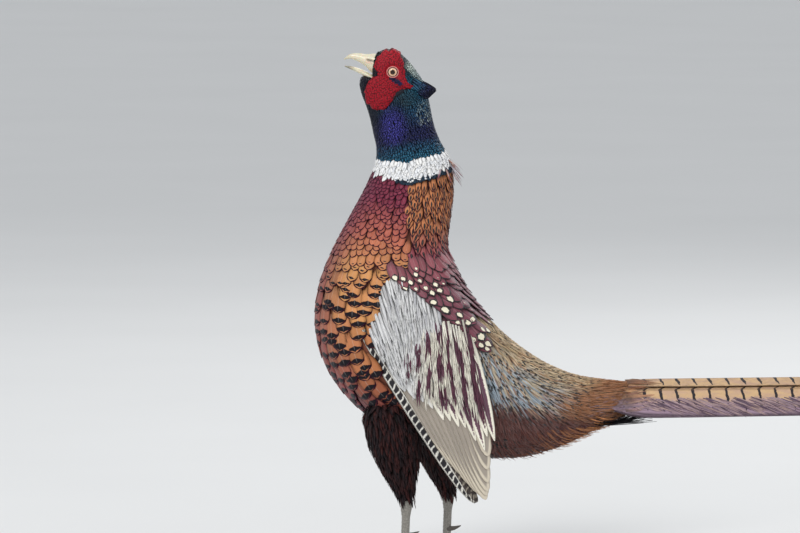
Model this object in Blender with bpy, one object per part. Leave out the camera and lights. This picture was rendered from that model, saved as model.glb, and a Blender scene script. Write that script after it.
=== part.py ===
"""A cock common pheasant, life size, standing and crowing.

The bird faces -X with its left side to -Y, and stands on Z = 0.  Sizes are written in
millimetres and turned into metres by MM.  They are measured from a point on the floor under
the legs; the parent empty then moves the whole bird so that the origin is the middle of the
floor under its bounding box.
"""

import math

import bmesh
import bpy
import numpy as np
from mathutils import Matrix, Vector

MM = 0.001
GAP = 0.3
DOWN = (0.0, 0.0, -1.0)
SIDEWAYS = Matrix.Rotation(math.pi / 2, 4, "X")

# The body's outline, from the face to the root of the tail.  Each row is one cross-section:
# its name, the throat and belly end (x, z), the crown and back end (x, z), and its half width.
BODY = [
    ("face", (-49.4, 472.1), (-38.0, 492.1), 6.5),
    ("lore", (-52.2, 467.4), (-33.2, 494.9), 9.0),
    ("brow", (-52.2, 461.7), (-23.8, 496.4), 12.0),
    ("eye", (-50.3, 454.1), (-12.3, 491.1), 13.8),
    ("crown", (-47.0, 445.5), (-0.9, 478.8), 14.5),
    ("nape", (-43.7, 436.0), (9.5, 461.7), 14.2),
    ("neck_top", (-41.3, 426.5), (13.8, 443.6), 15.0),
    ("neck_middle", (-38.9, 415.1), (17.6, 425.6), 17.5),
    ("neck_low", (-36.6, 404.7), (22.8, 411.3), 20.0),
    ("collar", (-36.6, 393.3), (30.4, 397.1), 23.0),
    ("ruff", (-38.9, 383.8), (35.1, 381.9), 26.0),
    ("shoulder", (-48.4, 362.9), (35.6, 361.0), 32.0),
    ("mantle", (-61.8, 338.2), (33.2, 337.2), 40.0),
    ("chest", (-78.8, 305.9), (30.4, 315.4), 48.0),
    ("breast", (-91.2, 273.6), (34.2, 294.5), 53.0),
    ("keel", (-95.5, 241.3), (44.6, 272.6), 55.5),
    ("wing_root", (-91.2, 210.9), (59.8, 250.8), 56.0),
    ("flank", (-77.9, 182.4), (77.9, 229.9), 55.0),
    ("belly", (-55.1, 155.8), (96.9, 213.8), 52.0),
    ("thighs", (-23.8, 134.9), (114.9, 201.4), 48.0),
    ("loin", (12.3, 119.7), (131.1, 192.8), 43.0),
    ("vent", (54.1, 110.2), (146.3, 186.7), 37.0),
    ("rump", (95.9, 109.2), (161.5, 182.9), 31.0),
    ("coverts", (133.9, 118.8), (175.8, 181.0), 24.0),
    ("tail_root", (168.2, 134.9), (189.0, 179.5), 16.0),
]
ROW = {row[0]: index for index, row in enumerate(BODY)}
BODY_SIDES = 28
BODY_STEPS = 2
FULL_BACK = 0.10

# The cuts that part the body into nodes, as (node, first section, last section, colour).
HEAD_END = ROW["nape"] + 0.6
NECK_END = ROW["collar"] - 0.3
COLLAR_END = ROW["ruff"] + 0.25
MANTLE_END = ROW["chest"] - 0.1
TORSO_END = ROW["loin"] + 0.6
BODY_END = ROW["tail_root"]
CUT = 0.4

BILL_SIDES = 16
UPPER_BILL = [
    ((-39.0, 473.5), (-34.0, 492.4), 6.6),
    ((-42.0, 475.2), (-40.0, 492.6), 6.2),
    ((-46.5, 480.2), (-46.5, 492.1), 5.4),
    ((-51.5, 483.6), (-52.2, 493.0), 4.5),
    ((-57.0, 486.4), (-58.2, 492.9), 3.3),
    ((-62.4, 487.7), (-63.0, 491.4), 2.0),
    ((-67.0, 486.8), (-67.4, 487.6), 0.5),
]
LOWER_BILL = [
    ((-38.0, 467.0), (-36.0, 471.5), 6.0),
    ((-43.7, 468.6), (-41.5, 473.0), 5.8),
    ((-49.0, 471.6), (-47.0, 476.2), 5.0),
    ((-54.5, 474.6), (-53.0, 478.7), 4.0),
    ((-60.5, 477.4), (-60.0, 480.6), 2.4),
    ((-66.6, 480.2), (-66.6, 481.1), 0.5),
]
NOSTRIL = (-44.8, 486.6)
NOSTRIL_LENGTH = 4.2

EYE = (-21.2, 475.9)
EYE_RADIUS = 6.4
EYE_OUT = 16.6
LID_OUT = 15.6
LID_RADIUS = 5.3
LID_THICKNESS = 1.0

# The outline of the red face, as (x, z) going round the eye from the bill.
WATTLE = [
    (-36.0, 489.0),
    (-39.0, 481.5),
    (-37.5, 474.5),
    (-43.0, 468.5),
    (-46.8, 461.0),
    (-47.6, 452.5),
    (-44.2, 444.5),
    (-36.5, 439.6),
    (-28.0, 440.2),
    (-21.5, 446.0),
    (-16.5, 453.5),
    (-9.5, 458.6),
    (-0.8, 460.6),
    (-6.6, 469.0),
    (-10.0, 480.5),
    (-12.0, 488.5),
    (-15.8, 495.2),
    (-22.5, 496.9),
    (-29.5, 495.6),
]
WATTLE_CENTRE = (-25.0, 468.0)
WATTLE_EDGE_OUT = 8.5
WATTLE_MIDDLE_OUT = 15.8
WATTLE_INSIDE = 5.0
WATTLE_LOBES = 11
WATTLE_SIDES = 32
WATTLE_RINGS = (0.35, 0.62, 0.84, 1.0)

TUFT_ROOT = (-5.5, 479.5)
TUFT_TIP = (20.5, 457.2)
TUFT_LOCKS = 4
TUFT_OUT = 12.2

HOCK_HEIGHT = 70.0
ANKLE_CUT = 15.0
LEG_OUT = 29.0
LEG_X = {"left": -6.0, "right": 34.0}
HIP_AHEAD = 18.0
HIP_HEIGHT = 152.0
HIP_OUT = 24.0
THIGH_SIDES = 16
TARSUS_SIDES = 10
TOE_SIDES = 8
# Each toe: its name, its heading from straight ahead (outwards is positive), its length.
TOES = [
    ("inner", -26.0, 37.0),
    ("middle", 2.0, 52.0),
    ("outer", 32.0, 42.0),
    ("hind", 196.0, 21.0),
]
TOE_RADIUS = 3.9
CLAW_LENGTH = {"inner": 10.0, "middle": 12.0, "outer": 10.0, "hind": 8.0}
SPUR_LENGTH = 13.0
SPUR_HEIGHT = 36.0

# The folded wing lies on a low dome.  Each tier of feathers has its first and last root (x, z),
# the headings of its first and last feather in degrees, a few lengths from first to last, the
# number of feathers, their half width, and how far the tier stands off the dome.
WING_MIDDLE = (0.0, 229.0)
WING_AXIS = math.radians(-72.0)
WING_OUT = 62.0
DOME_ACROSS = 220.0
DOME_ALONG = 1500.0
PAD_REACH = (57.0, 60.0)
PAD_OUT = 68.0
PAD_DEPTH = 16.0
VANE_THICK = 0.6
VANE_CLEAR = 0.5
WING_TIERS = [
    ("primary", (-46.0, 214.0), (-24.0, 206.0), (-56.5, -60.0), (166, 182, 190, 186), 6, 7.0, -2.2),
    ("secondary", (-34.0, 219.0), (44.0, 216.0), (-59.0, -76.0), (138, 156, 158, 140, 104), 8, 9.6, 0.0),
    ("covert", (-34.0, 238.0), (38.0, 236.0), (-69.0, -74.0), (80, 84, 82, 80), 6, 9.8, 3.4),
]
# Half width and thickness of a flight feather along its length, as shares of the full ones.
VANE_ALONG = (0.0, 0.4, 0.76, 0.92, 0.985, 1.0)
VANE_WIDE = (0.55, 1.0, 0.95, 0.72, 0.40, 0.12)
VANE_THIN = (1.0, 1.0, 1.0, 0.9, 0.75, 0.5)

# The tail is a steep roof.  Its cross-section is written as (y, z) from the ridge of the right
# middle feather; the left middle feather tucks its inner edge under the right one's.
TAIL_RIDGE = (178.0, 182.0)
TAIL_RISE = 0.012
TAIL_CORE = (0.0, -17.0)
RECTRIX_LENGTHS = (480.0, 380.0, 300.0, 240.0, 200.0, 170.0, 150.0, 135.0, 120.0)
RIGHT_MIDDLE = ((-7.0, -7.0), (3.0, 0.0), (22.0, -20.0))
LEFT_MIDDLE = ((-1.0, -7.4), (-10.0, -9.4), (-20.0, -34.0))
TAIL_THICK = 0.7
TAIL_STEP = 1.3
TAIL_ALONG = (0.0, 0.1, 0.2, 0.55, 0.82, 0.95, 1.0)
TAIL_WIDE = (0.8, 0.94, 1.0, 0.95, 0.68, 0.36, 0.08)
ROOT_BLOCK = [
    ((168.0, 143.0), (184.0, 176.0), 12.5),
    ((184.0, 145.0), (196.0, 176.0), 12.0),
    ((204.0, 149.0), (211.0, 175.0), 9.0),
    ((222.0, 157.0), (225.0, 171.0), 4.0),
]

# Feathers that the rump carries over and under the tail: the section each starts at, its angle
# from the middle of the back in degrees, its length, half width and how far its tip stands off.
RUMP_FEATHERS = [
    (22.6, 0.0, 66.0, 6.5, 6.5),
    (22.4, 38.0, 62.0, 6.5, 5.0),
    (22.2, 76.0, 58.0, 6.5, 5.5),
    (22.8, 180.0, 74.0, 6.5, 3.0),
    (22.6, 150.0, 64.0, 6.0, 3.0),
]
# Hanging locks of the rear flank: the section and angle that each starts at.
FRINGE = [
    (20.95, 92.0),
    (21.45, 88.0),
    (21.95, 85.0),
    (22.45, 82.0),
]
FRINGE_HALF = 4.8
SUNK = 2.0

# Loose feathers at the back of the collar, as root and tip (x, y, z).
STRAYS = [
    ((24.0, -4.0, 395.5), (43.5, -7.0, 396.5)),
    ((27.0, 2.0, 391.0), (44.0, 3.0, 386.0)),
    ((24.0, 6.0, 396.0), (39.0, 9.0, 399.0)),
]

COLOURS = {
    "bronze_green": (0.06, 0.10, 0.09),
    "neck_blue": (0.02, 0.04, 0.12),
    "collar_white": (0.86, 0.87, 0.90),
    "copper": (0.36, 0.12, 0.08),
    "gold": (0.60, 0.27, 0.08),
    "rust": (0.42, 0.20, 0.08),
    "wattle_red": (0.50, 0.02, 0.03),
    "bill_horn": (0.80, 0.77, 0.66),
    "iris": (0.75, 0.55, 0.32),
    "wing_grey": (0.55, 0.54, 0.52),
    "belly_black": (0.03, 0.02, 0.02),
    "leg_grey": (0.25, 0.24, 0.22),
    "claw_dark": (0.06, 0.05, 0.05),
    "tail_buff": (0.50, 0.36, 0.25),
}


def material(name, roughness=0.7):
    """A Principled material of one of the named colours, made once."""
    found = bpy.data.materials.get(name)
    if found:
        return found
    made = bpy.data.materials.new(name)
    made.use_nodes = True
    shader = made.node_tree.nodes["Principled BSDF"]
    shader.inputs["Base Color"].default_value = (*COLOURS[name], 1.0)
    shader.inputs["Roughness"].default_value = roughness
    shader.inputs["Metallic"].default_value = 0.0
    return made


def collection(name):
    made = bpy.data.collections.new(name)
    bpy.context.scene.collection.children.link(made)
    return made


def object_from(name, verts, faces, into):
    """A mesh object from points in millimetres and faces, with its normals turned outwards."""
    mesh = bpy.data.meshes.new(name)
    mesh.from_pydata([tuple(p * MM for p in v) for v in verts], [], faces)
    work = bmesh.new()
    work.from_mesh(mesh)
    bmesh.ops.recalc_face_normals(work, faces=work.faces)
    work.to_mesh(mesh)
    work.free()
    made = bpy.data.objects.new(name, mesh)
    into.objects.link(made)
    return made


def finish(obj, colour, smooth=40.0):
    """Gives a node its material and smooth shading up to an edge angle in degrees."""
    obj.data.materials.clear()
    obj.data.materials.append(material(colour))
    obj.data.shade_smooth()
    obj.data.set_sharp_from_angle(angle=math.radians(smooth))
    return obj


def apply_modifiers(obj):
    graph = bpy.context.evaluated_depsgraph_get()
    mesh = bpy.data.meshes.new_from_object(obj.evaluated_get(graph))
    obj.modifiers.clear()
    obj.data = mesh


def keep_largest(obj):
    """Keeps the largest closed surface of the mesh and drops the others."""
    work = bmesh.new()
    work.from_mesh(obj.data)
    bmesh.ops.remove_doubles(work, verts=work.verts, dist=0.002 * MM)
    left = set(work.verts)
    shells = []
    while left:
        stack = [left.pop()]
        shell = set(stack)
        while stack:
            for edge in stack.pop().link_edges:
                for vert in edge.verts:
                    if vert in left:
                        left.discard(vert)
                        shell.add(vert)
                        stack.append(vert)
        shells.append(shell)

    def reach(shell):
        points = np.array([v.co for v in shell])
        return float(np.prod(np.ptp(points, axis=0) + MM))

    shells.sort(key=reach, reverse=True)
    scrap = [v for shell in shells[1:] for v in shell]
    bmesh.ops.delete(work, geom=scrap, context="VERTS")
    work.to_mesh(obj.data)
    work.free()


def fuse(obj, pieces, solver="MANIFOLD"):
    """Joins the pieces to obj with one Boolean union and removes them."""
    group = collection("fusing")
    for piece in pieces:
        for owner in list(piece.users_collection):
            owner.objects.unlink(piece)
        group.objects.link(piece)
    joint = obj.modifiers.new("fuse", "BOOLEAN")
    joint.operation = "UNION"
    joint.operand_type = "COLLECTION"
    joint.collection = group
    joint.solver = solver
    apply_modifiers(obj)
    for piece in pieces:
        bpy.data.objects.remove(piece)
    bpy.data.collections.remove(group)
    keep_largest(obj)
    return obj


def cut(obj, cutters, solver="MANIFOLD"):
    """Takes each cutter out of obj.  The cutters stay, so that others can use them."""
    for cutter in cutters:
        saw = obj.modifiers.new("cut", "BOOLEAN")
        saw.operation = "DIFFERENCE"
        saw.object = cutter
        saw.solver = solver
    apply_modifiers(obj)
    keep_largest(obj)
    return obj


def smooth_rows(rows, where):
    """Rows of numbers read at fractional row numbers along a Catmull-Rom curve."""
    rows = np.asarray(rows, float)
    where = np.clip(np.asarray(where, float), 0.0, len(rows) - 1)
    first = np.minimum(where.astype(int), len(rows) - 2)
    t = (where - first)[:, None]
    a = rows[np.maximum(first - 1, 0)]
    b = rows[first]
    c = rows[first + 1]
    d = rows[np.minimum(first + 2, len(rows) - 1)]
    return 0.5 * (
        2 * b + (c - a) * t + (2 * a - 5 * b + 4 * c - d) * t**2 + (3 * b - a - 3 * c + d) * t**3
    )


def two_rail_sections(rows, where, sides, grow=0.0, fuller=0.0, middle=0.0):
    """Cross-sections between two rails in the X-Z plane.

    A row is (x, z) of the lower rail, (x, z) of the upper rail and the half width.  Each section
    is an ellipse across the two rail points, a little fuller towards the upper rail, and grown
    outwards by grow.
    """
    table = [(*low, *high, half) for low, high, half in rows]
    values = smooth_rows(table, where)
    low = values[:, 0:2]
    high = values[:, 2:4]
    half = values[:, 4] + grow
    centre = (low + high) / 2
    reach = (high - low) / 2
    length = np.linalg.norm(reach, axis=1, keepdims=True)
    reach = reach * (length + grow) / length
    angle = np.linspace(0, 2 * math.pi, sides, endpoint=False)
    along = np.cos(angle)
    across = np.sin(angle) * (1 + fuller * along)
    x = centre[:, 0:1] + reach[:, 0:1] * along
    z = centre[:, 1:2] + reach[:, 1:2] * along
    y = middle + half[:, None] * across
    return np.stack([x, y, z], axis=2)


def loft(name, sections, into):
    """A closed skin over rings of points, with a flat face on each end."""
    count, sides, _ = sections.shape
    faces = []
    for row in range(count - 1):
        for side in range(sides):
            a = row * sides + side
            b = row * sides + (side + 1) % sides
            faces.append((a, b, b + sides, a + sides))
    faces.append(tuple(range(sides)))
    faces.append(tuple(range((count - 1) * sides, count * sides)))
    return object_from(name, sections.reshape(-1, 3), faces, into)


def body_rows():
    return [(low, high, half) for _, low, high, half in BODY]


def body_length(where):
    """Speed of the body's middle line in millimetres per section."""
    step = 0.01
    ends = smooth_rows([(*low, *high) for low, high, _ in body_rows()], [where - step, where + step])
    middle = (ends[:, 0:2] + ends[:, 2:4]) / 2
    return float(np.linalg.norm(middle[1] - middle[0]) / (2 * step))


BODY_CUTS = (HEAD_END, NECK_END, COLLAR_END, MANTLE_END, TORSO_END)


def body_stations(first, last):
    """Section numbers from first to last, with half a cut left beside each inner end."""
    start = first + (CUT / 2 / body_length(first) if first > 0 else 0.0)
    end = last - (CUT / 2 / body_length(last) if last < BODY_END else 0.0)
    grid = np.arange(0, BODY_END * BODY_STEPS + 1) / BODY_STEPS
    clear = 0.2 / BODY_STEPS
    inner = grid[(grid > start + clear) & (grid < end - clear)]
    return np.concatenate([[start], inner, [end]])


def body_piece(name, first, last, into):
    where = body_stations(first, last)
    return loft(name, two_rail_sections(body_rows(), where, BODY_SIDES, 0.0, FULL_BACK), into)


def body_tool(into):
    """The whole body grown by the gap, on the same sections as its nodes, to cut what meets it."""
    ends = (0.0, *BODY_CUTS, BODY_END)
    spans = [body_stations(a, b) for a, b in zip(ends[:-1], ends[1:])]
    sections = two_rail_sections(body_rows(), np.concatenate(spans), BODY_SIDES, GAP, FULL_BACK)
    first = sections[0] + cap_normal(sections[0], sections[1]) * GAP
    last = sections[-1] + cap_normal(sections[-1], sections[-2]) * GAP
    return loft("body_tool", np.concatenate([[first], sections[1:-1], [last]]), into)


def cap_normal(ring, inside):
    """The direction that the flat end of a loft faces."""
    normal = np.cross(ring[1] - ring[0], ring[len(ring) // 2] - ring[0])
    normal /= np.linalg.norm(normal)
    return normal * np.sign(normal @ (ring.mean(0) - inside.mean(0)))


def sphere(name, centre, radii, into, segments=20, rings=12, turn=None):
    """An ellipsoid from a UV sphere, in millimetres."""
    mesh = bpy.data.meshes.new(name)
    work = bmesh.new()
    bmesh.ops.create_uvsphere(work, u_segments=segments, v_segments=rings, radius=1.0)
    scale = Matrix.Diagonal((*[r * MM for r in radii], 1.0))
    place = Matrix.Translation(Vector(centre) * MM)
    work.transform(place @ (turn or Matrix.Identity(4)) @ scale)
    work.to_mesh(mesh)
    work.free()
    made = bpy.data.objects.new(name, mesh)
    into.objects.link(made)
    return made


def tube(name, points, radii, sides, into, flatten=1.0, start_way=None, end_way=None):
    """A closed tube of round sections along a bent line, its sections turned with the line.

    start_way and end_way, where given, are the directions that its two flat ends are square to.
    """
    points = np.asarray(points, float)
    tangent = np.gradient(points, axis=0)
    if start_way is not None:
        tangent[0] = start_way
    if end_way is not None:
        tangent[-1] = end_way
    tangent /= np.linalg.norm(tangent, axis=1, keepdims=True)
    side = np.cross(tangent, (0.0, 0.0, 1.0))
    lengths = np.linalg.norm(side, axis=1, keepdims=True)
    side = np.where(lengths > 0.2, side / np.maximum(lengths, 1e-6), (0.0, 1.0, 0.0))
    up = np.cross(side, tangent)
    up /= np.linalg.norm(up, axis=1, keepdims=True)
    angle = np.linspace(0, 2 * math.pi, sides, endpoint=False)
    radii = np.asarray(radii, float)[:, None, None]
    rings = (
        points[:, None, :]
        + side[:, None, :] * np.cos(angle)[None, :, None] * radii
        + up[:, None, :] * np.sin(angle)[None, :, None] * radii * flatten
    )
    return loft(name, rings, into)


def vane(name, rails, thickness, into):
    """A thin blade over lines of points that run from root to tip, side by side.

    rails is lines by points by 3.  Both faces stand half the thickness off the rails and are
    split into triangles alike.
    """
    rails = np.asarray(rails, float)
    lines, count, _ = rails.shape
    across = np.gradient(rails, axis=0)
    along = np.gradient(rails, axis=1)
    normal = np.cross(along, across)
    normal /= np.linalg.norm(normal, axis=2, keepdims=True)
    half = normal * np.asarray(thickness, float)[None, :, None] / 2
    points = np.concatenate([(rails + half).reshape(-1, 3), (rails - half).reshape(-1, 3)])
    under = lines * count
    faces = []
    for line in range(lines - 1):
        for spot in range(count - 1):
            a = line * count + spot
            b = a + count
            faces.append((a, b, b + 1))
            faces.append((a, b + 1, a + 1))
            faces.append((a + under, b + 1 + under, b + under))
            faces.append((a + under, a + 1 + under, b + 1 + under))
    for line in (0, lines - 1):
        for spot in range(count - 1):
            a = line * count + spot
            faces.append((a, a + 1, a + 1 + under, a + under))
    for spot in (0, count - 1):
        for line in range(lines - 1):
            a = line * count + spot
            faces.append((a, a + count, a + count + under, a + under))
    return object_from(name, points, faces, into)


def mirrored(obj, name, into):
    """A copy of obj on the bird's other side."""
    mesh = obj.data.copy()
    mesh.transform(Matrix.Diagonal((1.0, -1.0, 1.0, 1.0)))
    mesh.flip_normals()
    made = bpy.data.objects.new(name, mesh)
    into.objects.link(made)
    return made


def both_sides(obj, name, into):
    """Names obj as the left one and adds the right one."""
    obj.name = name + "_left"
    return obj, mirrored(obj, name + "_right", into)


def make_body(parts):
    spans = [
        ("head", 0.0, HEAD_END, "bronze_green"),
        ("neck", HEAD_END, NECK_END, "neck_blue"),
        ("collar", NECK_END, COLLAR_END, "collar_white"),
        ("mantle", COLLAR_END, MANTLE_END, "copper"),
        ("torso", MANTLE_END, TORSO_END, "gold"),
        ("rump", TORSO_END, BODY_END, "rust"),
    ]
    return {
        name: finish(body_piece(name, first, last, parts), colour)
        for name, first, last, colour in spans
    }


def on_body(where, degrees, lift):
    """Points on the body's left side, at sections and angles from the back, and the way out."""
    table = smooth_rows([(*low, *high, half) for low, high, half in body_rows()], where)
    turn = np.radians(degrees)
    centre = (table[:, 0:2] + table[:, 2:4]) / 2
    reach = (table[:, 2:4] - table[:, 0:2]) / 2
    length = np.linalg.norm(reach, axis=1)
    up = reach / length[:, None]
    flat = centre + reach * np.cos(turn)[:, None]
    y = -table[:, 4] * np.sin(turn) * (1 + FULL_BACK * np.cos(turn))
    slant = up * (np.cos(turn) / length)[:, None]
    out = np.column_stack([slant[:, 0], -np.sin(turn) / table[:, 4], slant[:, 1]])
    out /= np.linalg.norm(out, axis=1, keepdims=True)
    return np.column_stack([flat[:, 0], y, flat[:, 1]]) + out * np.asarray(lift)[:, None], out


def lying_vane(name, points, out, widths, thickness, side, into):
    """A vane along points that lies flat to the way out, on the left (1) or right (-1) side."""
    aside = np.cross(out, np.gradient(points, axis=0))
    aside *= (np.asarray(widths) / np.linalg.norm(aside, axis=1))[:, None]
    rails = np.array([points - aside, points + aside])
    rails[:, :, 1] *= side
    return vane(name, rails, thickness, into)


def rump_feathers(into):
    """Coverts that run back over and under the tail, and the locks that hang from the flanks."""
    feathers = []
    v = np.array(VANE_ALONG)
    for start, degrees, length, half, stand in RUMP_FEATHERS:
        room = (BODY_END - start) * body_length(start)
        ahead = np.minimum(length * v, room)
        lift = -SUNK + (stand + SUNK) * v**0.6
        points, out = on_body(start + ahead / body_length(start), np.full(len(v), degrees), lift)
        points[:, 0] += length * v - ahead
        for side in (1.0,) if degrees in (0.0, 180.0) else (1.0, -1.0):
            blade = lying_vane("covert", points, out, half * np.array(VANE_WIDE), VANE_THIN, side, into)
            feathers.append(blade)
    for start, degrees in FRINGE:
        turn = degrees + 62.0 * v
        points, out = on_body(start + 0.9 * v, turn, -SUNK + 3.0 * v + 5.5 * v**3)
        widths = FRINGE_HALF * np.array([0.9, 1.0, 0.75, 0.5, 0.3, 0.15])
        for side in (1.0, -1.0):
            feathers.append(lying_vane("lock", points, out, widths, VANE_THIN, side, into))
    return feathers


def stray_feathers(into):
    """Narrow feathers that stick out of the collar's back."""
    v = np.array((0.0, 0.4, 0.75, 1.0))
    strays = []
    for root, tip in STRAYS:
        line = np.array(root) + np.outer(v, np.subtract(tip, root))
        line[:, 2] += 1.6 * np.sin(math.pi * v)
        reach = np.outer((1.5, 1.7, 1.5, 0.4), (0.0, 1.0, 0.0))
        strays.append(vane("stray", [line - reach, line + reach], (0.9, 0.8, 0.7, 0.5), into))
    return strays


def make_bill(parts, tools, flesh):
    upper_where = np.linspace(0, len(UPPER_BILL) - 1, 13)
    upper = loft("upper_bill", two_rail_sections(UPPER_BILL, upper_where, BILL_SIDES), parts)
    lower_where = np.linspace(0, len(LOWER_BILL) - 1, 9)
    lower = loft("lower_bill", two_rail_sections(LOWER_BILL, lower_where, BILL_SIDES), parts)
    nostril = sphere(
        "nostril",
        (NOSTRIL[0], 0.0, NOSTRIL[1]),
        (NOSTRIL_LENGTH, 9.0, 1.1),
        tools,
        12,
        8,
        Matrix.Rotation(math.radians(14), 4, "Y"),
    )
    keep = sphere("septum", (NOSTRIL[0], 0.0, NOSTRIL[1]), (9.0, 3.4, 7.0), tools, 16, 10)
    cut(nostril, [keep])
    cut(upper, [flesh])
    finish(cut(upper, [nostril, mirrored(nostril, "nostril_other", tools)]), "bill_horn")
    finish(cut(lower, [flesh]), "bill_horn")


def make_eyes(parts, tools, head):
    """Eyeballs set in sockets of the head, with the tool that also clears the wattle."""
    centre = (EYE[0], -(EYE_OUT - EYE_RADIUS), EYE[1])
    ball = sphere("eye", centre, (EYE_RADIUS,) * 3, parts, 16, 10, SIDEWAYS)
    ball_left, ball_right = both_sides(ball, "eye", parts)
    socket = sphere("socket", centre, (EYE_RADIUS + GAP,) * 3, tools, 16, 10, SIDEWAYS)
    other = mirrored(socket, "socket_right", tools)
    finish(cut(head, [socket, other]), "bronze_green")
    for one in (ball_left, ball_right):
        finish(one, "iris")
    return socket


def ring_through(points, count):
    """Points spread evenly along a closed smooth curve."""
    rows = list(points) + list(points[:3])
    where = np.linspace(0, len(points), count, endpoint=False) + 1
    return smooth_rows([points[-1]] + rows, where)


def make_wattles(parts, tools, flesh, socket):
    """The red face: a domed pad with a lobed rim, cut to the head and round the eye."""
    rim = ring_through(WATTLE, WATTLE_SIDES)
    middle = np.array(WATTLE_CENTRE)
    layers = []
    for share in WATTLE_RINGS:
        ring = middle + (rim - middle) * share
        fall = 1 - (1 - share**2.4) ** 0.5 if share < 1 else 1.0
        out = WATTLE_MIDDLE_OUT - (WATTLE_MIDDLE_OUT - WATTLE_EDGE_OUT) * fall
        lobes = 0.45 * np.cos(WATTLE_LOBES * np.linspace(0, 2 * math.pi, len(ring), endpoint=False))
        layers.append(np.column_stack([ring[:, 0], -(out + lobes * share), ring[:, 1]]))
    layers = layers[::-1]
    back = layers[0].copy()
    back[:, 1] = -WATTLE_INSIDE
    count = len(rim)
    points = np.vstack([back, *layers, [[middle[0], -WATTLE_MIDDLE_OUT - 0.2, middle[1]]]])
    faces = [tuple(range(count))]
    for row in range(len(layers)):
        for side in range(count):
            a = row * count + side
            b = row * count + (side + 1) % count
            faces.append((a, b, b + count, a + count))
    top = len(points) - 1
    for side in range(count):
        faces.append((len(layers) * count + side, len(layers) * count + (side + 1) % count, top))
    wattle = object_from("wattle", points, faces, parts)
    lid = lid_ring(tools)
    fuse(wattle, [lid])
    cut(wattle, [flesh, socket])
    for one in both_sides(wattle, "wattle", parts):
        finish(one, "wattle_red")


def lid_ring(tools):
    """The eyelids: a thin ring that frames the eyeball."""
    bpy.ops.mesh.primitive_torus_add(
        major_segments=22,
        minor_segments=6,
        major_radius=LID_RADIUS * MM,
        minor_radius=LID_THICKNESS * MM,
        location=(EYE[0] * MM, -LID_OUT * MM, EYE[1] * MM),
        rotation=(math.pi / 2, 0.0, 0.0),
    )
    ring = bpy.context.object
    mesh = ring.data
    mesh.transform(ring.matrix_world)
    bpy.data.objects.remove(ring)
    made = bpy.data.objects.new("lid", mesh)
    tools.objects.link(made)
    return made


def make_ear_tufts(parts, tools, flesh):
    """The horn-like tuft behind each eye: a flat tapered core with locks along its lower edge."""
    root = np.array([TUFT_ROOT[0], -TUFT_OUT + 3.0, TUFT_ROOT[1]])
    tip = np.array([TUFT_TIP[0], -TUFT_OUT - 2.0, TUFT_TIP[1]])
    share = np.linspace(0, 1, 6)[:, None]
    line = root + (tip - root) * share
    core = tube("core", line, (4.2, 5.2, 5.0, 4.2, 2.6, 0.6), 8, parts, 0.8)
    locks = []
    for number in range(TUFT_LOCKS):
        step = (number + 1) / (TUFT_LOCKS + 1)
        start = root + (tip - root) * (0.18 + 0.5 * step)
        end = start + (tip - root) * 0.42 + np.array([-2.5, -0.8, -3.4])
        bend = (start + end) / 2 + np.array([0.8, -0.8, 1.2])
        locks.append(tube("lock", [start, bend, end], (2.4, 2.2, 0.5), 6, tools, 0.6))
    fuse(core, locks)
    cut(core, [flesh])
    for one in both_sides(core, "ear_tuft", parts):
        finish(one, "neck_blue")


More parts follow.
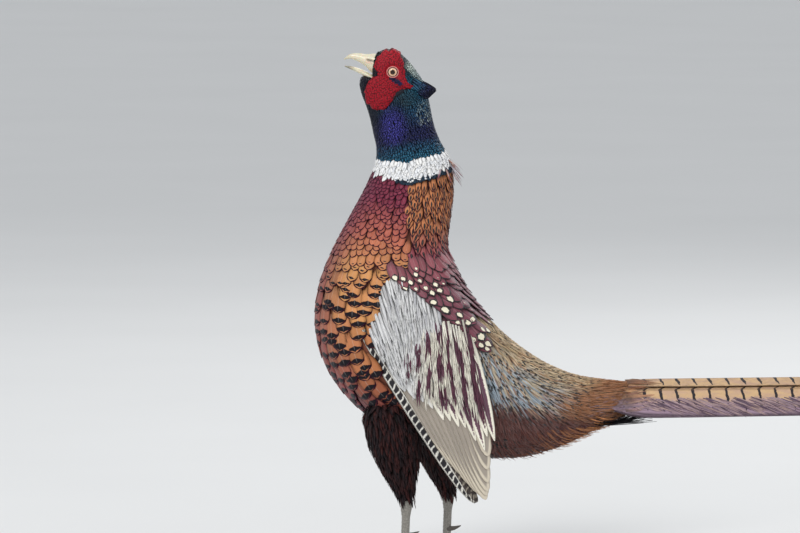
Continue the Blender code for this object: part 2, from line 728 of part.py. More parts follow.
def make_leg(side, parts, tools, flesh):
    """Thigh, shank with its spur, foot and claws of one side."""
    sign = -1.0 if side == "left" else 1.0
    x = LEG_X[side]
    y = sign * LEG_OUT
    hock = np.array([x - 2.0, y, HOCK_HEIGHT])
    hip = np.array([x - HIP_AHEAD, sign * HIP_OUT, HIP_HEIGHT])
    share = np.linspace(0, 1, 8)
    radii = np.interp(share, [0, 0.35, 0.7, 0.9, 1.0], [26.0, 25.0, 16.0, 9.5, 7.2])
    line = hip + (hock - hip) * share[:, None]
    thigh = tube("thigh_" + side, line, radii, THIGH_SIDES, parts, end_way=DOWN)
    finish(cut(thigh, [flesh]), "belly_black")

    foot_top = np.array([x - 4.0, y, ANKLE_CUT])
    top = hock - np.array([0.0, 0.0, GAP])
    share = np.linspace(0, 1, 8)
    radii = np.interp(share, [0, 0.12, 0.3, 0.85, 1.0], [6.3, 5.4, 3.9, 3.8, 4.6])
    bottom = foot_top + np.array([0.0, 0.0, GAP])
    line = top + (bottom - top) * share[:, None]
    shank = tube("tarsus_" + side, line, radii, TARSUS_SIDES, parts, 1.0, DOWN, DOWN)
    spur_base = np.array([x - 3.0, y - sign * 1.5, SPUR_HEIGHT])
    spur_tip = spur_base + np.array([SPUR_LENGTH, -sign * 3.5, 3.5])
    spur_line = [spur_base, (spur_base + spur_tip) / 2 - np.array([0, 0, 0.8]), spur_tip]
    spur = tube("spur", spur_line, (2.8, 2.0, 0.5), 8, tools)
    finish(fuse(shank, [spur]), "leg_grey")

    ball = sphere("ball", (foot_top[0] - 1.0, y, 5.2), (7.4, 7.0, 6.4), tools, 14, 9)
    stub = tube(
        "foot_" + side,
        [foot_top, foot_top - np.array([0, 0, 4.0]), foot_top - np.array([0, 0, 9.5])],
        (4.6, 4.8, 6.0),
        TARSUS_SIDES,
        parts,
    )
    toes = [ball]
    claws = []
    for name, heading, length in TOES:
        turn = math.radians(heading)
        ahead = np.array([-math.cos(turn), sign * math.sin(turn), 0.0])
        start = np.array([foot_top[0], y, 0.0])
        lift = 7.5 if name == "hind" else 4.2
        share = np.linspace(0, 1, 7)
        knobs = 1.0 + 0.10 * np.cos(share * 2 * math.pi * (2 if length < 30 else 3))
        radii = TOE_RADIUS * (1.0 - 0.34 * share) * knobs
        heights = radii * 0.86 + (lift - radii[0] * 0.86) * (1 - share) ** 2
        line = start + ahead * (length * share)[:, None]
        line[:, 2] = heights
        toes.append(tube("toe", line, radii, TOE_SIDES, tools, end_way=ahead))
        tip = line[-1] + ahead * GAP
        claw_end = tip + ahead * CLAW_LENGTH[name]
        claw_end[2] = 0.7
        bow = (tip + claw_end) / 2 + np.array([0, 0, 1.3])
        claw_radii = (radii[-1] * 0.8, radii[-1] * 0.62, 0.45)
        claw = tube(f"claw_{name}_{side}", [tip, bow, claw_end], claw_radii, 8, parts, 1.0, ahead)
        claws.append(claw)
    fuse(stub, toes)
    floor_box = box("floor", (x, y, -20.0), (150.0, 150.0, 20.0), tools)
    finish(cut(stub, [floor_box]), "leg_grey")
    for claw in claws:
        finish(claw, "claw_dark")


def box(name, centre, half, into):
    mesh = bpy.data.meshes.new(name)
    work = bmesh.new()
    bmesh.ops.create_cube(work, size=2.0)
    work.transform(
        Matrix.Translation(Vector(centre) * MM) @ Matrix.Diagonal((*[h * MM for h in half], 1.0))
    )
    work.to_mesh(mesh)
    work.free()
    made = bpy.data.objects.new(name, mesh)
    into.objects.link(made)
    return made


def wing_out(x, z):
    """How far the wing's middle layer stands out from the bird's middle plane."""
    dx = x - WING_MIDDLE[0]
    dz = z - WING_MIDDLE[1]
    along = dx * math.cos(WING_AXIS) + dz * math.sin(WING_AXIS)
    across = dz * math.cos(WING_AXIS) - dx * math.sin(WING_AXIS)
    return WING_OUT - across**2 / (2 * DOME_ACROSS) - along**2 / (2 * DOME_ALONG)


def wing_tier(tier, into):
    """One tier of wing feathers, each tilted so that its rear edge lies under the next one."""
    name, first, last, headings, lengths, count, half, layer = tier
    share = np.linspace(0, 1, count)
    roots = np.array(first) + np.outer(share, np.subtract(last, first))
    angles = np.radians(np.interp(share, (0, 1), headings))
    reach = np.interp(share, np.linspace(0, 1, len(lengths)), lengths)
    turn = angles[1] - angles[0]
    along = np.array(VANE_ALONG)
    vanes = []
    for root, angle, length in zip(roots, angles, reach):
        heading = np.array([math.cos(angle), math.sin(angle)])
        aside = np.array([-math.sin(angle), math.cos(angle)])
        spacing = (roots[1] - roots[0]) @ aside + turn * length * along
        slope = (VANE_THICK + VANE_CLEAR) / spacing
        rails = []
        for side in (-1.0, 1.0):
            away = side * half * np.array(VANE_WIDE)
            flat = root + np.outer(length * along, heading) + np.outer(away, aside)
            out = wing_out(flat[:, 0], flat[:, 1]) + layer - slope * away
            rails.append(np.column_stack([flat[:, 0], -out, flat[:, 1]]))
        vanes.append(vane(name, rails, VANE_THICK * np.array(VANE_THIN), into))
    return vanes


def make_wings(parts, tools, flesh):
    """The folded wings: a rounded arm with primaries, secondaries and greater coverts."""
    centre = (WING_MIDDLE[0], -(PAD_OUT - PAD_DEPTH), WING_MIDDLE[1])
    arm = sphere("wing", centre, (*PAD_REACH, PAD_DEPTH), parts, 20, 10, SIDEWAYS)
    vanes = [blade for tier in WING_TIERS for blade in wing_tier(tier, tools)]
    fuse(arm, vanes)
    cut(arm, [flesh])
    for one in both_sides(arm, "wing", parts):
        finish(one, "wing_grey")


def tail_points(x, profile, width):
    """Points of a tail cross-section at each x: drawn together at the root, in place further on."""
    x = np.asarray(x, float)[:, None]
    grow = np.clip((x - TAIL_RIDGE[0]) / 45.0, 0.0, 1.0)
    size = 0.45 + 0.55 * grow * (2 - grow)
    middle = profile[1] if len(profile) == 3 else (profile[0] + profile[1]) / 2
    y = middle[0] + (np.array([p[0] for p in profile]) - middle[0]) * width
    z = middle[1] + (np.array([p[1] for p in profile]) - middle[1]) * width
    y = TAIL_CORE[0] + (y - TAIL_CORE[0]) * size
    z = TAIL_CORE[1] + (z - TAIL_CORE[1]) * size
    height = TAIL_RIDGE[1] + TAIL_RISE * (x - TAIL_RIDGE[0])
    return np.stack([np.broadcast_to(x, y.shape), y, height + z], axis=2).transpose(1, 0, 2)


def rectrix(length, profile, into):
    """One tail feather whose cross-section at full width is the profile."""
    along = np.array(TAIL_ALONG)
    rails = tail_points(TAIL_RIDGE[0] + length * along, profile, np.array(TAIL_WIDE)[:, None])
    return vane("rectrix", rails, np.interp(along, (0, 0.75, 1), (1, 1, 0.55)) * TAIL_THICK, into)


def tucked(middle_feather, number):
    """Cross-section of the tail feather that lies number steps under a middle feather."""
    _, top, bottom = (np.array(p) for p in middle_feather)
    down = (bottom - top) / np.linalg.norm(bottom - top)
    side = np.sign(bottom[0])
    inward = np.array([down[1] * side, -down[0] * side])
    start = top + inward * TAIL_STEP * number
    skip = max(1.5, (1.0 - start[0] * side) / (down[0] * side))
    end = bottom + inward * TAIL_STEP * number + down * (1.2 - 0.35 * number)
    return np.array([start + down * skip, end])


def make_tail(parts, tools, flesh):
    """The tail: its middle pair on top, the shorter feathers stacked under it, one root."""
    where = np.linspace(0, len(ROOT_BLOCK) - 1, 8)
    block = loft("tail", two_rail_sections(ROOT_BLOCK, where, 14), parts)
    vanes = []
    for middle_feather in (RIGHT_MIDDLE, LEFT_MIDDLE):
        vanes.append(rectrix(RECTRIX_LENGTHS[0], middle_feather, tools))
        for number, length in enumerate(RECTRIX_LENGTHS[1:], start=1):
            vanes.append(rectrix(length, tucked(middle_feather, number), tools))
    fuse(block, vanes)
    finish(cut(block, [flesh]), "tail_buff")


def main():
    for old in list(bpy.data.objects):
        bpy.data.objects.remove(old)
    parts = collection("common_pheasant")
    tools = collection("cutters")
    body = make_body(parts)
    finish(fuse(body["rump"], rump_feathers(tools)), "rust")
    finish(fuse(body["collar"], stray_feathers(tools)), "collar_white")
    flesh = body_tool(tools)
    make_bill(parts, tools, flesh)
    socket = make_eyes(parts, tools, body["head"])
    make_wattles(parts, tools, flesh, socket)
    make_ear_tufts(parts, tools, flesh)
    for side in ("left", "right"):
        make_leg(side, parts, tools, flesh)
    make_wings(parts, tools, flesh)
    make_tail(parts, tools, flesh)
    for tool in list(tools.objects):
        bpy.data.objects.remove(tool)
    bpy.data.collections.remove(tools)

    stand_point = bpy.data.objects.new("pheasant", None)
    parts.objects.link(stand_point)
    nodes = [obj for obj in parts.objects if obj.type == "MESH"]
    across = [vert.co.x for obj in nodes for vert in obj.data.vertices]
    stand_point.location.x = -(min(across) + max(across)) / 2
    for obj in nodes:
        obj.parent = stand_point


main()
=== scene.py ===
"""A cock common pheasant, crowing: plumage, bare face, bill, eyes, legs, camera and light.

Points are worked out in millimetres from a spot on the floor under the legs, as the bird's own
shape is, and to_world puts them in the shared frame in metres. The bird faces -X and its left side
faces -Y.
"""

import math

import bpy
import numpy as np
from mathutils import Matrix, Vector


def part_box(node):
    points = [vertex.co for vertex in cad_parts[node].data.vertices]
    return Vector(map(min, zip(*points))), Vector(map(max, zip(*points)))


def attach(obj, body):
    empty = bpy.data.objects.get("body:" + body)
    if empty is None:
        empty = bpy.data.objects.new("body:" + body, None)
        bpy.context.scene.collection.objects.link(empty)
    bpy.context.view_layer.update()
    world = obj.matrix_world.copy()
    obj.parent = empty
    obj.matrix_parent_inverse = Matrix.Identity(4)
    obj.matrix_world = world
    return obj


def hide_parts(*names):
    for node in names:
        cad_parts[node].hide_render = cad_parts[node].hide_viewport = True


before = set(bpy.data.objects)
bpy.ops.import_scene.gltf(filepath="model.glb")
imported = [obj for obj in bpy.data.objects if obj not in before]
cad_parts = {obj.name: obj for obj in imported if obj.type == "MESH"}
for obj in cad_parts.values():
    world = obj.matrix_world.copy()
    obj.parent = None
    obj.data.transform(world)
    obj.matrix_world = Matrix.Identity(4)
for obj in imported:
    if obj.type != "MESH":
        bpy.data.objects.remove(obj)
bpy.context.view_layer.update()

MM = 0.001
BILL_TIP_X = -67.4
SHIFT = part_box("upper_bill")[0][0] / MM - BILL_TIP_X
RANDOM = np.random.default_rng(7)
UP = (0.0, 0.0, 1.0)

# The body's outline from the face to the root of the tail: throat and belly end (x, z), crown
# and back end (x, z), half width.
BODY = [
    ((-49.4, 472.1), (-38.0, 492.1), 6.5),
    ((-52.2, 467.4), (-33.2, 494.9), 9.0),
    ((-52.2, 461.7), (-23.8, 496.4), 12.0),
    ((-50.3, 454.1), (-12.3, 491.1), 13.8),
    ((-47.0, 445.5), (-0.9, 478.8), 14.5),
    ((-43.7, 436.0), (9.5, 461.7), 14.2),
    ((-41.3, 426.5), (13.8, 443.6), 15.0),
    ((-38.9, 415.1), (17.6, 425.6), 17.5),
    ((-36.6, 404.7), (22.8, 411.3), 20.0),
    ((-36.6, 393.3), (30.4, 397.1), 23.0),
    ((-38.9, 383.8), (35.1, 381.9), 26.0),
    ((-48.4, 362.9), (35.6, 361.0), 32.0),
    ((-61.8, 338.2), (33.2, 337.2), 40.0),
    ((-78.8, 305.9), (30.4, 315.4), 48.0),
    ((-91.2, 273.6), (34.2, 294.5), 53.0),
    ((-95.5, 241.3), (44.6, 272.6), 55.5),
    ((-91.2, 210.9), (59.8, 250.8), 56.0),
    ((-77.9, 182.4), (77.9, 229.9), 55.0),
    ((-55.1, 155.8), (96.9, 213.8), 52.0),
    ((-23.8, 134.9), (114.9, 201.4), 48.0),
    ((12.3, 119.7), (131.1, 192.8), 43.0),
    ((54.1, 110.2), (146.3, 186.7), 37.0),
    ((95.9, 109.2), (161.5, 182.9), 31.0),
    ((133.9, 118.8), (175.8, 181.0), 24.0),
    ((168.2, 134.9), (189.0, 179.5), 16.0),
]
BODY_TABLE = np.array([(*low, *high, half) for low, high, half in BODY])
BODY_TABLE = np.vstack([2 * BODY_TABLE[0] - BODY_TABLE[1], BODY_TABLE, 2 * BODY_TABLE[-1] - BODY_TABLE[-2]])
BODY_END = len(BODY) - 1.0
FULL_BACK = 0.10
COAT_DEPTH = 2.6
GAPE_BACK = -40.5
# The unwrapped skin's ranges and the small steps for slopes, on the body.
BODY_SPANS = (0.0, BODY_END, -180.0, 180.0)
BODY_STEPS = (0.02, 0.6)

WING_MIDDLE = (0.0, 229.0)
WING_AXIS = math.radians(-72.0)
WING_OUT = 62.0
DOME_ACROSS = 220.0
DOME_ALONG = 1500.0
PAD_REACH = (57.0, 60.0)
# The arm's height at its rim and how much more its middle stands out; then the same of its coverts.
PAD_OUT = (52.0, 15.0)
COVERS_OUT = (53.5, 13.5)
# How far the coverts lie over the wing's middle layer.
COVERS_LIFT = 4.2


def srgb(red, green, blue):
    """A colour written as it looks on screen, from 0 to 255, as the linear values of a shader."""
    values = np.array([red, green, blue]) / 255.0
    linear = np.where(values <= 0.04045, values / 12.92, ((values + 0.055) / 1.055) ** 2.4)
    return (*(float(v) for v in linear), 1.0)


INK = srgb(16, 10, 20)
NIGHT = srgb(9, 12, 34)
NAVY = srgb(14, 22, 74)
VIOLET = srgb(62, 58, 150)
TEAL = srgb(24, 92, 118)
PEACOCK = srgb(16, 60, 66)
CROWN_GREY = srgb(196, 208, 196)
WHITE = srgb(244, 242, 238)
COLLAR_SHADE = srgb(196, 206, 226)
MAROON = srgb(124, 46, 66)
COPPER = srgb(176, 97, 77)
PURPLE_EDGE = srgb(62, 18, 42)
GOLD = srgb(204, 147, 90)
GOLD_DEEP = srgb(180, 115, 73)
GOLD_BROWN = srgb(140, 78, 54)
BELLY = srgb(34, 25, 24)
THIGH = srgb(26, 16, 20)
BUFF_ORANGE = srgb(190, 120, 78)
MANTLE_PINK = srgb(142, 70, 78)
SCAPULAR = srgb(116, 58, 72)
CREAM = srgb(238, 230, 204)
RUMP_BLUE = srgb(172, 186, 198)
RUMP_BUFF = srgb(216, 188, 144)
RUST = srgb(168, 108, 62)
CHESTNUT = srgb(96, 36, 26)
FRINGE_ORANGE = srgb(206, 134, 74)
BREAST_PLUM = srgb(116, 54, 74)
EAR_GREY = srgb(38, 48, 48)
SHAFT_PALE = (0.8, 0.75, 0.68, 1.0)


def smooth_rows(rows, where):
    """Rows of numbers read at fractional row numbers along a Catmull-Rom curve."""
    where = np.clip(where, 0.0, len(rows) - 1)
    first = np.minimum(where.astype(int), len(rows) - 2)
    t = (where - first)[..., None]
    a = rows[np.maximum(first - 1, 0)]
    b = rows[first]
    c = rows[first + 1]
    d = rows[np.minimum(first + 2, len(rows) - 1)]
    return 0.5 * (2 * b + (c - a) * t + (2 * a - 5 * b + 4 * c - d) * t**2 + (3 * (b - c) - a + d) * t**3)


def ease(value, low, high):
    """Smooth step from 0 at low to 1 at high."""
    t = np.clip((value - low) / (high - low), 0.0, 1.0)
    return t * t * (3 - 2 * t)


def unit(vectors):
    return vectors / np.maximum(np.linalg.norm(vectors, axis=-1, keepdims=True), 1e-9)


def at(x, y, z):
    """Points from their three numbers."""
    return np.stack(np.broadcast_arrays(x, y, z), axis=-1)


def along_curve(points, share):
    """Points read at shares 0 to 1 of a smooth curve through the given points."""
    rows = np.asarray(points, float)
    return smooth_rows(rows, np.asarray(share, float) * (len(rows) - 1))


def body_shape(where, degrees):
    """The body at fractional sections and angles from the back, positive on the left.

    Each section is an ellipse across its two rail points, a little fuller towards the back.
    The rails run on one section past both ends.
    """
    table = smooth_rows(BODY_TABLE, where + 1)
    turn = np.radians(degrees)
    along = np.cos(turn)
    low, high = table[..., 0:2], table[..., 2:4]
    flat = (low + high) / 2 + (high - low) / 2 * along[..., None]
    y = -table[..., 4] * np.sin(turn) * (1 + FULL_BACK * along)
    return at(flat[..., 0], y, flat[..., 1])


def pad_out(x, z):
    """How far the arm of the folded wing stands out, as a shallow dish that falls off at its rim."""
    rim = ((x - WING_MIDDLE[0]) / PAD_REACH[0]) ** 2 + ((z - WING_MIDDLE[1]) / PAD_REACH[1]) ** 2
    return PAD_OUT[0] + PAD_OUT[1] * (1 - rim)


def clothed_shape(where, degrees):
    """The body with the arm of the wing under its feathers: the larger of the two, blended."""
    points = body_shape(where, degrees)
    width = np.abs(points[..., 1])
    arm = pad_out(points[..., 0], points[..., 2]) - 1.0
    blended = 0.5 * (width + arm + np.sqrt((width - arm) ** 2 + 9.0))
    near = ease(width, 12.0, 34.0) * ease(arm, 20.0, 36.0)
    points[..., 1] = np.sign(points[..., 1]) * (width + (blended - width) * near)
    return points


def wing_out(x, z):
    """How far the folded wing's middle layer stands out: a low dome."""
    dx = x - WING_MIDDLE[0]
    dz = z - WING_MIDDLE[1]
    along = dx * math.cos(WING_AXIS) + dz * math.sin(WING_AXIS)
    across = dz * math.cos(WING_AXIS) - dx * math.sin(WING_AXIS)
    return WING_OUT - across**2 / (2 * DOME_ACROSS) - along**2 / (2 * DOME_ALONG)


def wing_cover(x, drop):
    """The outside of the small wing coverts on the left: the dome, let down to its upper rim.

    drop is the height written downwards, so that the surface's outside faces -Y.
    """
    z = -drop
    high = ease(z, 176.0, 236.0)
    rim = high * (x / PAD_REACH[0]) ** 2 + (np.maximum(z - WING_MIDDLE[1], 0.0) / PAD_REACH[1]) ** 2
    dish = COVERS_OUT[0] + COVERS_OUT[1] * (1 - rim)
    dome = wing_out(x, z) + COVERS_LIFT
    out = 0.5 * (dome + dish - np.sqrt((dome - dish) ** 2 + 4.0))
    return at(x, -out, z)


def partials(surface, a, b, step_a, step_b):
    """Slopes of a surface along its two parameters and its outward normal."""
    da = (surface(a + step_a, b) - surface(a - step_a, b)) / (2 * step_a)
    db = (surface(a, b + step_b) - surface(a, b - step_b)) / (2 * step_b)
    return da, db, unit(np.cross(db, da))


def to_world(points):
    return (points + np.array([SHIFT, 0.0, 0.0])) * MM


# Feathers

FLAT_TIP = ((0.0, 0.34), (0.3, 0.86), (0.62, 1.0), (0.82, 0.94), (0.93, 0.72), (0.985, 0.38), (1.0, 0.12))
ROUND_TIP = ((0.0, 0.4), (0.3, 0.9), (0.55, 1.0), (0.75, 0.92), (0.9, 0.66), (0.97, 0.38), (1.0, 0.12))
POINTED_TIP = ((0.0, 0.5), (0.25, 0.95), (0.45, 1.0), (0.7, 0.74), (0.88, 0.4), (1.0, 0.06))
STRAND_TIP = ((0.0, 1.0), (0.4, 0.9), (0.8, 0.5), (1.0, 0.08))


def outline(shape, v):
    v = np.asarray(v)
    return np.interp(v, [p[0] for p in shape], [p[1] for p in shape])


def tube_quads(rows, ring):
    """The point numbers of a tube of rings, and its quads."""
    index = np.arange(rows * ring).reshape(rows, ring)
    nxt = np.roll(index, -1, axis=1)
    return index, np.stack([index[:-1], index[1:], nxt[1:], nxt[:-1]], axis=-1).reshape(-1, 4)


def fill(layer, key, values):
    """Writes lists of numbers to a mesh's layer."""
    layer.data.foreach_set(key, np.concatenate(values).astype(np.float32).ravel())


def new_mesh(name, points, faces, counts):
    """A mesh from points in millimetres, its faces' corners in a row and the corners of each face."""
    corners = np.concatenate(faces).astype(np.int32)
    counts = np.concatenate(counts)
    starts = np.concatenate([[0], np.cumsum(counts)[:-1]]).astype(np.int32)
    mesh = bpy.data.meshes.new(name)
    mesh.vertices.add(len(points))
    mesh.vertices.foreach_set("co", to_world(points).astype(np.float32).ravel())
    mesh.loops.add(len(corners))
    mesh.loops.foreach_set("vertex_index", corners)
    mesh.polygons.add(len(counts))
    mesh.polygons.foreach_set("loop_start", starts)
    mesh.update(calc_edges=True)
    return mesh, corners


class Coat:
    """Many small closed forms gathered into one mesh, with their own coordinates and colours."""

    def __init__(self):
        self.points = []
        self.faces = []
        self.counts = []
        self.flat = []
        self.place = []
        self.patch = []
        self.colours = {"ground": [], "mark": [], "edge": []}
        self.chance = []
        self.total = 0

    def add(self, rings, place, patch, colours, flip, flat_from):
        """Adds closed tubes: rings is forms by rows by ring points by 3.

        place and patch hold the feather's own coordinates and its spot on the unwrapped skin.
        Ring points from flat_from on are the underside, whose faces are shaded flat.
        """
        forms, rows, ring = rings.shape[:3]
        index, quads = tube_quads(rows, ring)
        under = np.zeros((rows - 1, ring), bool)
        under[:, flat_from:] = True
        faces = [*quads, index[0], index[-1][::-1]]
        if flip:
            faces = [face[::-1] for face in faces]
        start = self.total + np.arange(forms)[:, None] * rows * ring
        self.points.append(rings.reshape(-1, 3))
        self.faces.append((np.concatenate(faces)[None, :] + start).ravel())
        self.counts.append(np.tile([len(face) for face in faces], forms))
        self.flat.append(np.tile(np.append(under.ravel(), [True, True]), forms))
        for store, values in ((self.place, place), (self.patch, patch)):
            store.append(np.broadcast_to(values, (forms, rows, ring, 2)).reshape(-1, 2))
        for name, store in self.colours.items():
            store.append(np.repeat(np.broadcast_to(colours[name], (forms, 4)), rows * ring, axis=0))
        self.chance.append(np.repeat(RANDOM.random(forms), rows * ring))
        self.total += forms * rows * ring

    def build(self, name, material, slot_name, nodes=()):
        """Makes the mesh object, which rides on the bird."""
        mesh, corners = new_mesh(name, np.concatenate(self.points), self.faces, self.counts)
        flat = mesh.attributes.new("sharp_face", "BOOLEAN", "FACE")
        flat.data.foreach_set("value", np.concatenate(self.flat))
        for title, values in (("OFBake", self.patch), ("feather", self.place)):
            fill(mesh.uv_layers.new(name=title), "uv", [np.concatenate(values)[corners]])
        mesh.uv_layers["OFBake"].active = True
        for title, store in self.colours.items():
            fill(mesh.color_attributes.new(title, "FLOAT_COLOR", "POINT"), "color", store)
        fill(mesh.attributes.new("chance", "FLOAT", "POINT"), "value", self.chance)
        return piece(name, mesh, material, slot_name, nodes)


def piece(name, mesh, material, slot_name, nodes=()):
    """Makes a mesh an object of the bird, with its material and the nodes it replaces; its slot is not used.
    """
    obj = bpy.data.objects.new(name, mesh)
    bpy.context.scene.collection.objects.link(obj)
    mesh.materials.append(material)
    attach(obj, "root")
    if nodes:
        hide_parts(*nodes)
    return obj


def lens(top, normals, thick):
    """Closes a blade: its top points, then the inner points again, set in by its thickness."""
    under = top[:, :, -2:0:-1] - normals[:, :, -2:0:-1] * thick
    return np.concatenate([top, under], axis=2)


def lens_place(rows, columns):
    """The feather's own coordinates round each ring: across 0 to 1, along 0 to 1, closer at the tip."""
    across = np.linspace(0, 1, columns)
    ring = np.concatenate([across, across[-2:0:-1]])
    return ring, np.sin(np.linspace(0, np.pi / 2, rows))


# How much of the unwrapped skin one feather covers.
PATCH_SIZE = 0.003


def lay(coat, surface, a, b, toward, length, half, shape, lift, colours, steps=BODY_STEPS, spans=BODY_SPANS,
        rows=6, columns=3, thick=0.16, cup=0.10, curl=0.0, tilt=0.0, sides=(1,)):
    """Lays feathers on a surface: each point goes along and across the feather's heading.

    a, b are the roots' parameters; toward the headings as vectors; half is the half width; lift
    gives the height over the surface along the feather; steps are the small steps for slopes;
    spans the ranges of a and b that fill the unwrapped skin; cup lowers the feather's sides;
    curl bends it sideways; tilt is its fall across per millimetre; side -1 lays a mirror image too.
    """
    da, db, out = partials(surface, a, b, *steps)
    toward = unit(toward - out * np.sum(toward * out, axis=-1, keepdims=True))
    aside = np.cross(out, toward)
    ring, v = lens_place(rows, columns)
    u = np.linspace(-1, 1, columns)
    half = np.broadcast_to(half, length.shape)[:, None, None]
    s = length[:, None, None] * v[None, :, None]
    c = half * outline(shape, v)[None, :, None] * u
    c = c + (np.asarray(curl) * length)[:, None, None] * v[None, :, None] ** 2
    ways = toward[:, None, None] * s[..., None] + aside[:, None, None] * c[..., None]
    aa = np.sum(da * da, -1)[:, None, None]
    bb = np.sum(db * db, -1)[:, None, None]
    ab = np.sum(da * db, -1)[:, None, None]
    wa = np.sum(ways * da[:, None, None], -1)
    wb = np.sum(ways * db[:, None, None], -1)
    size = np.maximum(aa * bb - ab * ab, 1e-9)
    spots_a = a[:, None, None] + (bb * wa - ab * wb) / size
    spots_b = b[:, None, None] + (aa * wb - ab * wa) / size
    normals = partials(surface, spots_a, spots_b, *steps)[2]
    height = lift(v)[..., :, None] - cup * half * u**2 - np.asarray(tilt) * c
    top = surface(spots_a, spots_b) + normals * height[..., None]
    place = np.stack(np.broadcast_arrays(ring[None, :], v[:, None]), axis=-1)
    spot_a = (a - spans[0]) / (spans[1] - spans[0])
    spot_b = (b - spans[2]) / (spans[3] - spans[2])
    patch = np.stack([spot_b, spot_a], axis=-1)[:, None, None, :] + PATCH_SIZE * (place - 0.5)
    rings = lens(top, normals, thick)
    for side in sides:
        coat.add(rings * (1.0, side, 1.0), place, patch, colours, side < 0, columns - 1)


def body_roots(start, end, spacing, across, keep, jitter=0.18):
    """Staggered rows of feather roots round the body, from one section to another.

    spacing and across give the distances in millimetres at a section; keep says which stay.
    """
    where_all, degrees_all = [], []
    where, row = start, 0
    while where < end:
        ends = [body_shape(np.array([where]) + d, np.array([90.0]))[0] for d in (-0.05, 0.05)]
        speed = np.linalg.norm(ends[1] - ends[0]) / 0.1
        round_it = np.linspace(0, 360, 73)
        ring = body_shape(np.full(73, where), round_it)
        girth = np.linalg.norm(np.diff(ring, axis=0), axis=1)
        total = girth.sum()
        number = max(6, int(total / across(where)))
        marks = (np.arange(number) + 0.5 * (row % 2)) * total / number
        angle = np.interp(marks, np.append(0, np.cumsum(girth)), round_it)
        angle = (angle + 180.0) % 360.0 - 180.0
        where_all.append(where + RANDOM.normal(0, jitter, number) * spacing(where) / speed)
        degrees_all.append(angle + RANDOM.normal(0, jitter, number) * 360.0 / number)
        where += spacing(where) / speed
        row += 1
    where = np.concatenate(where_all)
    degrees = (np.concatenate(degrees_all) + 180.0) % 360.0 - 180.0
    good = keep(where, degrees)
    return where[good], degrees[good]


def flow(where, degrees, turn=0.0):
    """Headings on the body: along its length, turned by degrees towards the back."""
    da, db, out = partials(body_shape, where, degrees, 0.02, 0.5)
    ahead = unit(da)
    back = -unit(np.cross(out, ahead)) * np.sign(degrees)[:, None]
    back = back * np.sign(np.sum(back * -db * np.sign(degrees)[:, None], -1))[:, None]
    angle = np.radians(turn)
    return ahead * np.cos(angle)[..., None] + back * np.sin(angle)[..., None]


def blend(first, second, share):
    """Colours between two, at a share for each feather."""
    share = np.clip(np.asarray(share, float), 0, 1)[:, None]
    return np.asarray(first) * (1 - share) + np.asarray(second) * share


def vary(colours, amount):
    """Each feather a little lighter or darker than the next."""
    gain = 1 + RANDOM.normal(0, amount, len(colours))
    return np.clip(colours * np.column_stack([gain, gain, gain, np.ones(len(gain))]), 0, 1)


def stray(headings, amount):
    """Headings, each pushed a little off its way."""
    return headings + RANDOM.normal(0, amount, headings.shape)


def uneven(lengths, amount, count):
    """Lengths, each a little longer or shorter."""
    return lengths * (1 + RANDOM.normal(0, amount, count))


def sized(colour, size):
    """A feather colour whose fourth number holds how large its mark or edge is."""
    size = np.asarray(size, float)
    return np.column_stack([np.broadcast_to(np.asarray(colour)[..., :3], (len(size), 3)), size])


def paint(ground, mark=INK, mark_size=0.0, edge=INK, edge_size=0.0):
    """Feather colours: the ground's, and those of mark and edge with their sizes."""
    count = len(ground)
    return {"ground": np.asarray(ground), "mark": sized(mark, np.broadcast_to(mark_size, count)),
            "edge": sized(edge, np.broadcast_to(edge_size, count))}


def stops(where, marks, colours):
    """Colours along a line of stops."""
    table = np.array(colours)
    return np.column_stack([np.interp(where, marks, table[:, i]) for i in range(4)])


def tile(colour, share):
    """A colour, once for each feather."""
    return np.tile(colour, (len(share), 1))


# Materials

class Wire:
    """A node's output; sums on it work as they do on numbers, each by a node of its own."""

    def __init__(self, nodes, socket):
        self.nodes = nodes
        self.socket = socket

    def __add__(self, other):
        return self.nodes.math("ADD", self, other)

    def __sub__(self, other):
        return self.nodes.math("SUBTRACT", self, other)

    def __rsub__(self, other):
        return self.nodes.math("SUBTRACT", other, self)

    def __mul__(self, other):
        return self.nodes.math("MULTIPLY", self, other)

    def __truediv__(self, other):
        return self.nodes.math("DIVIDE", self, other)

    def __abs__(self):
        return self.nodes.math("ABSOLUTE", self)

    __radd__ = __add__
    __rmul__ = __mul__


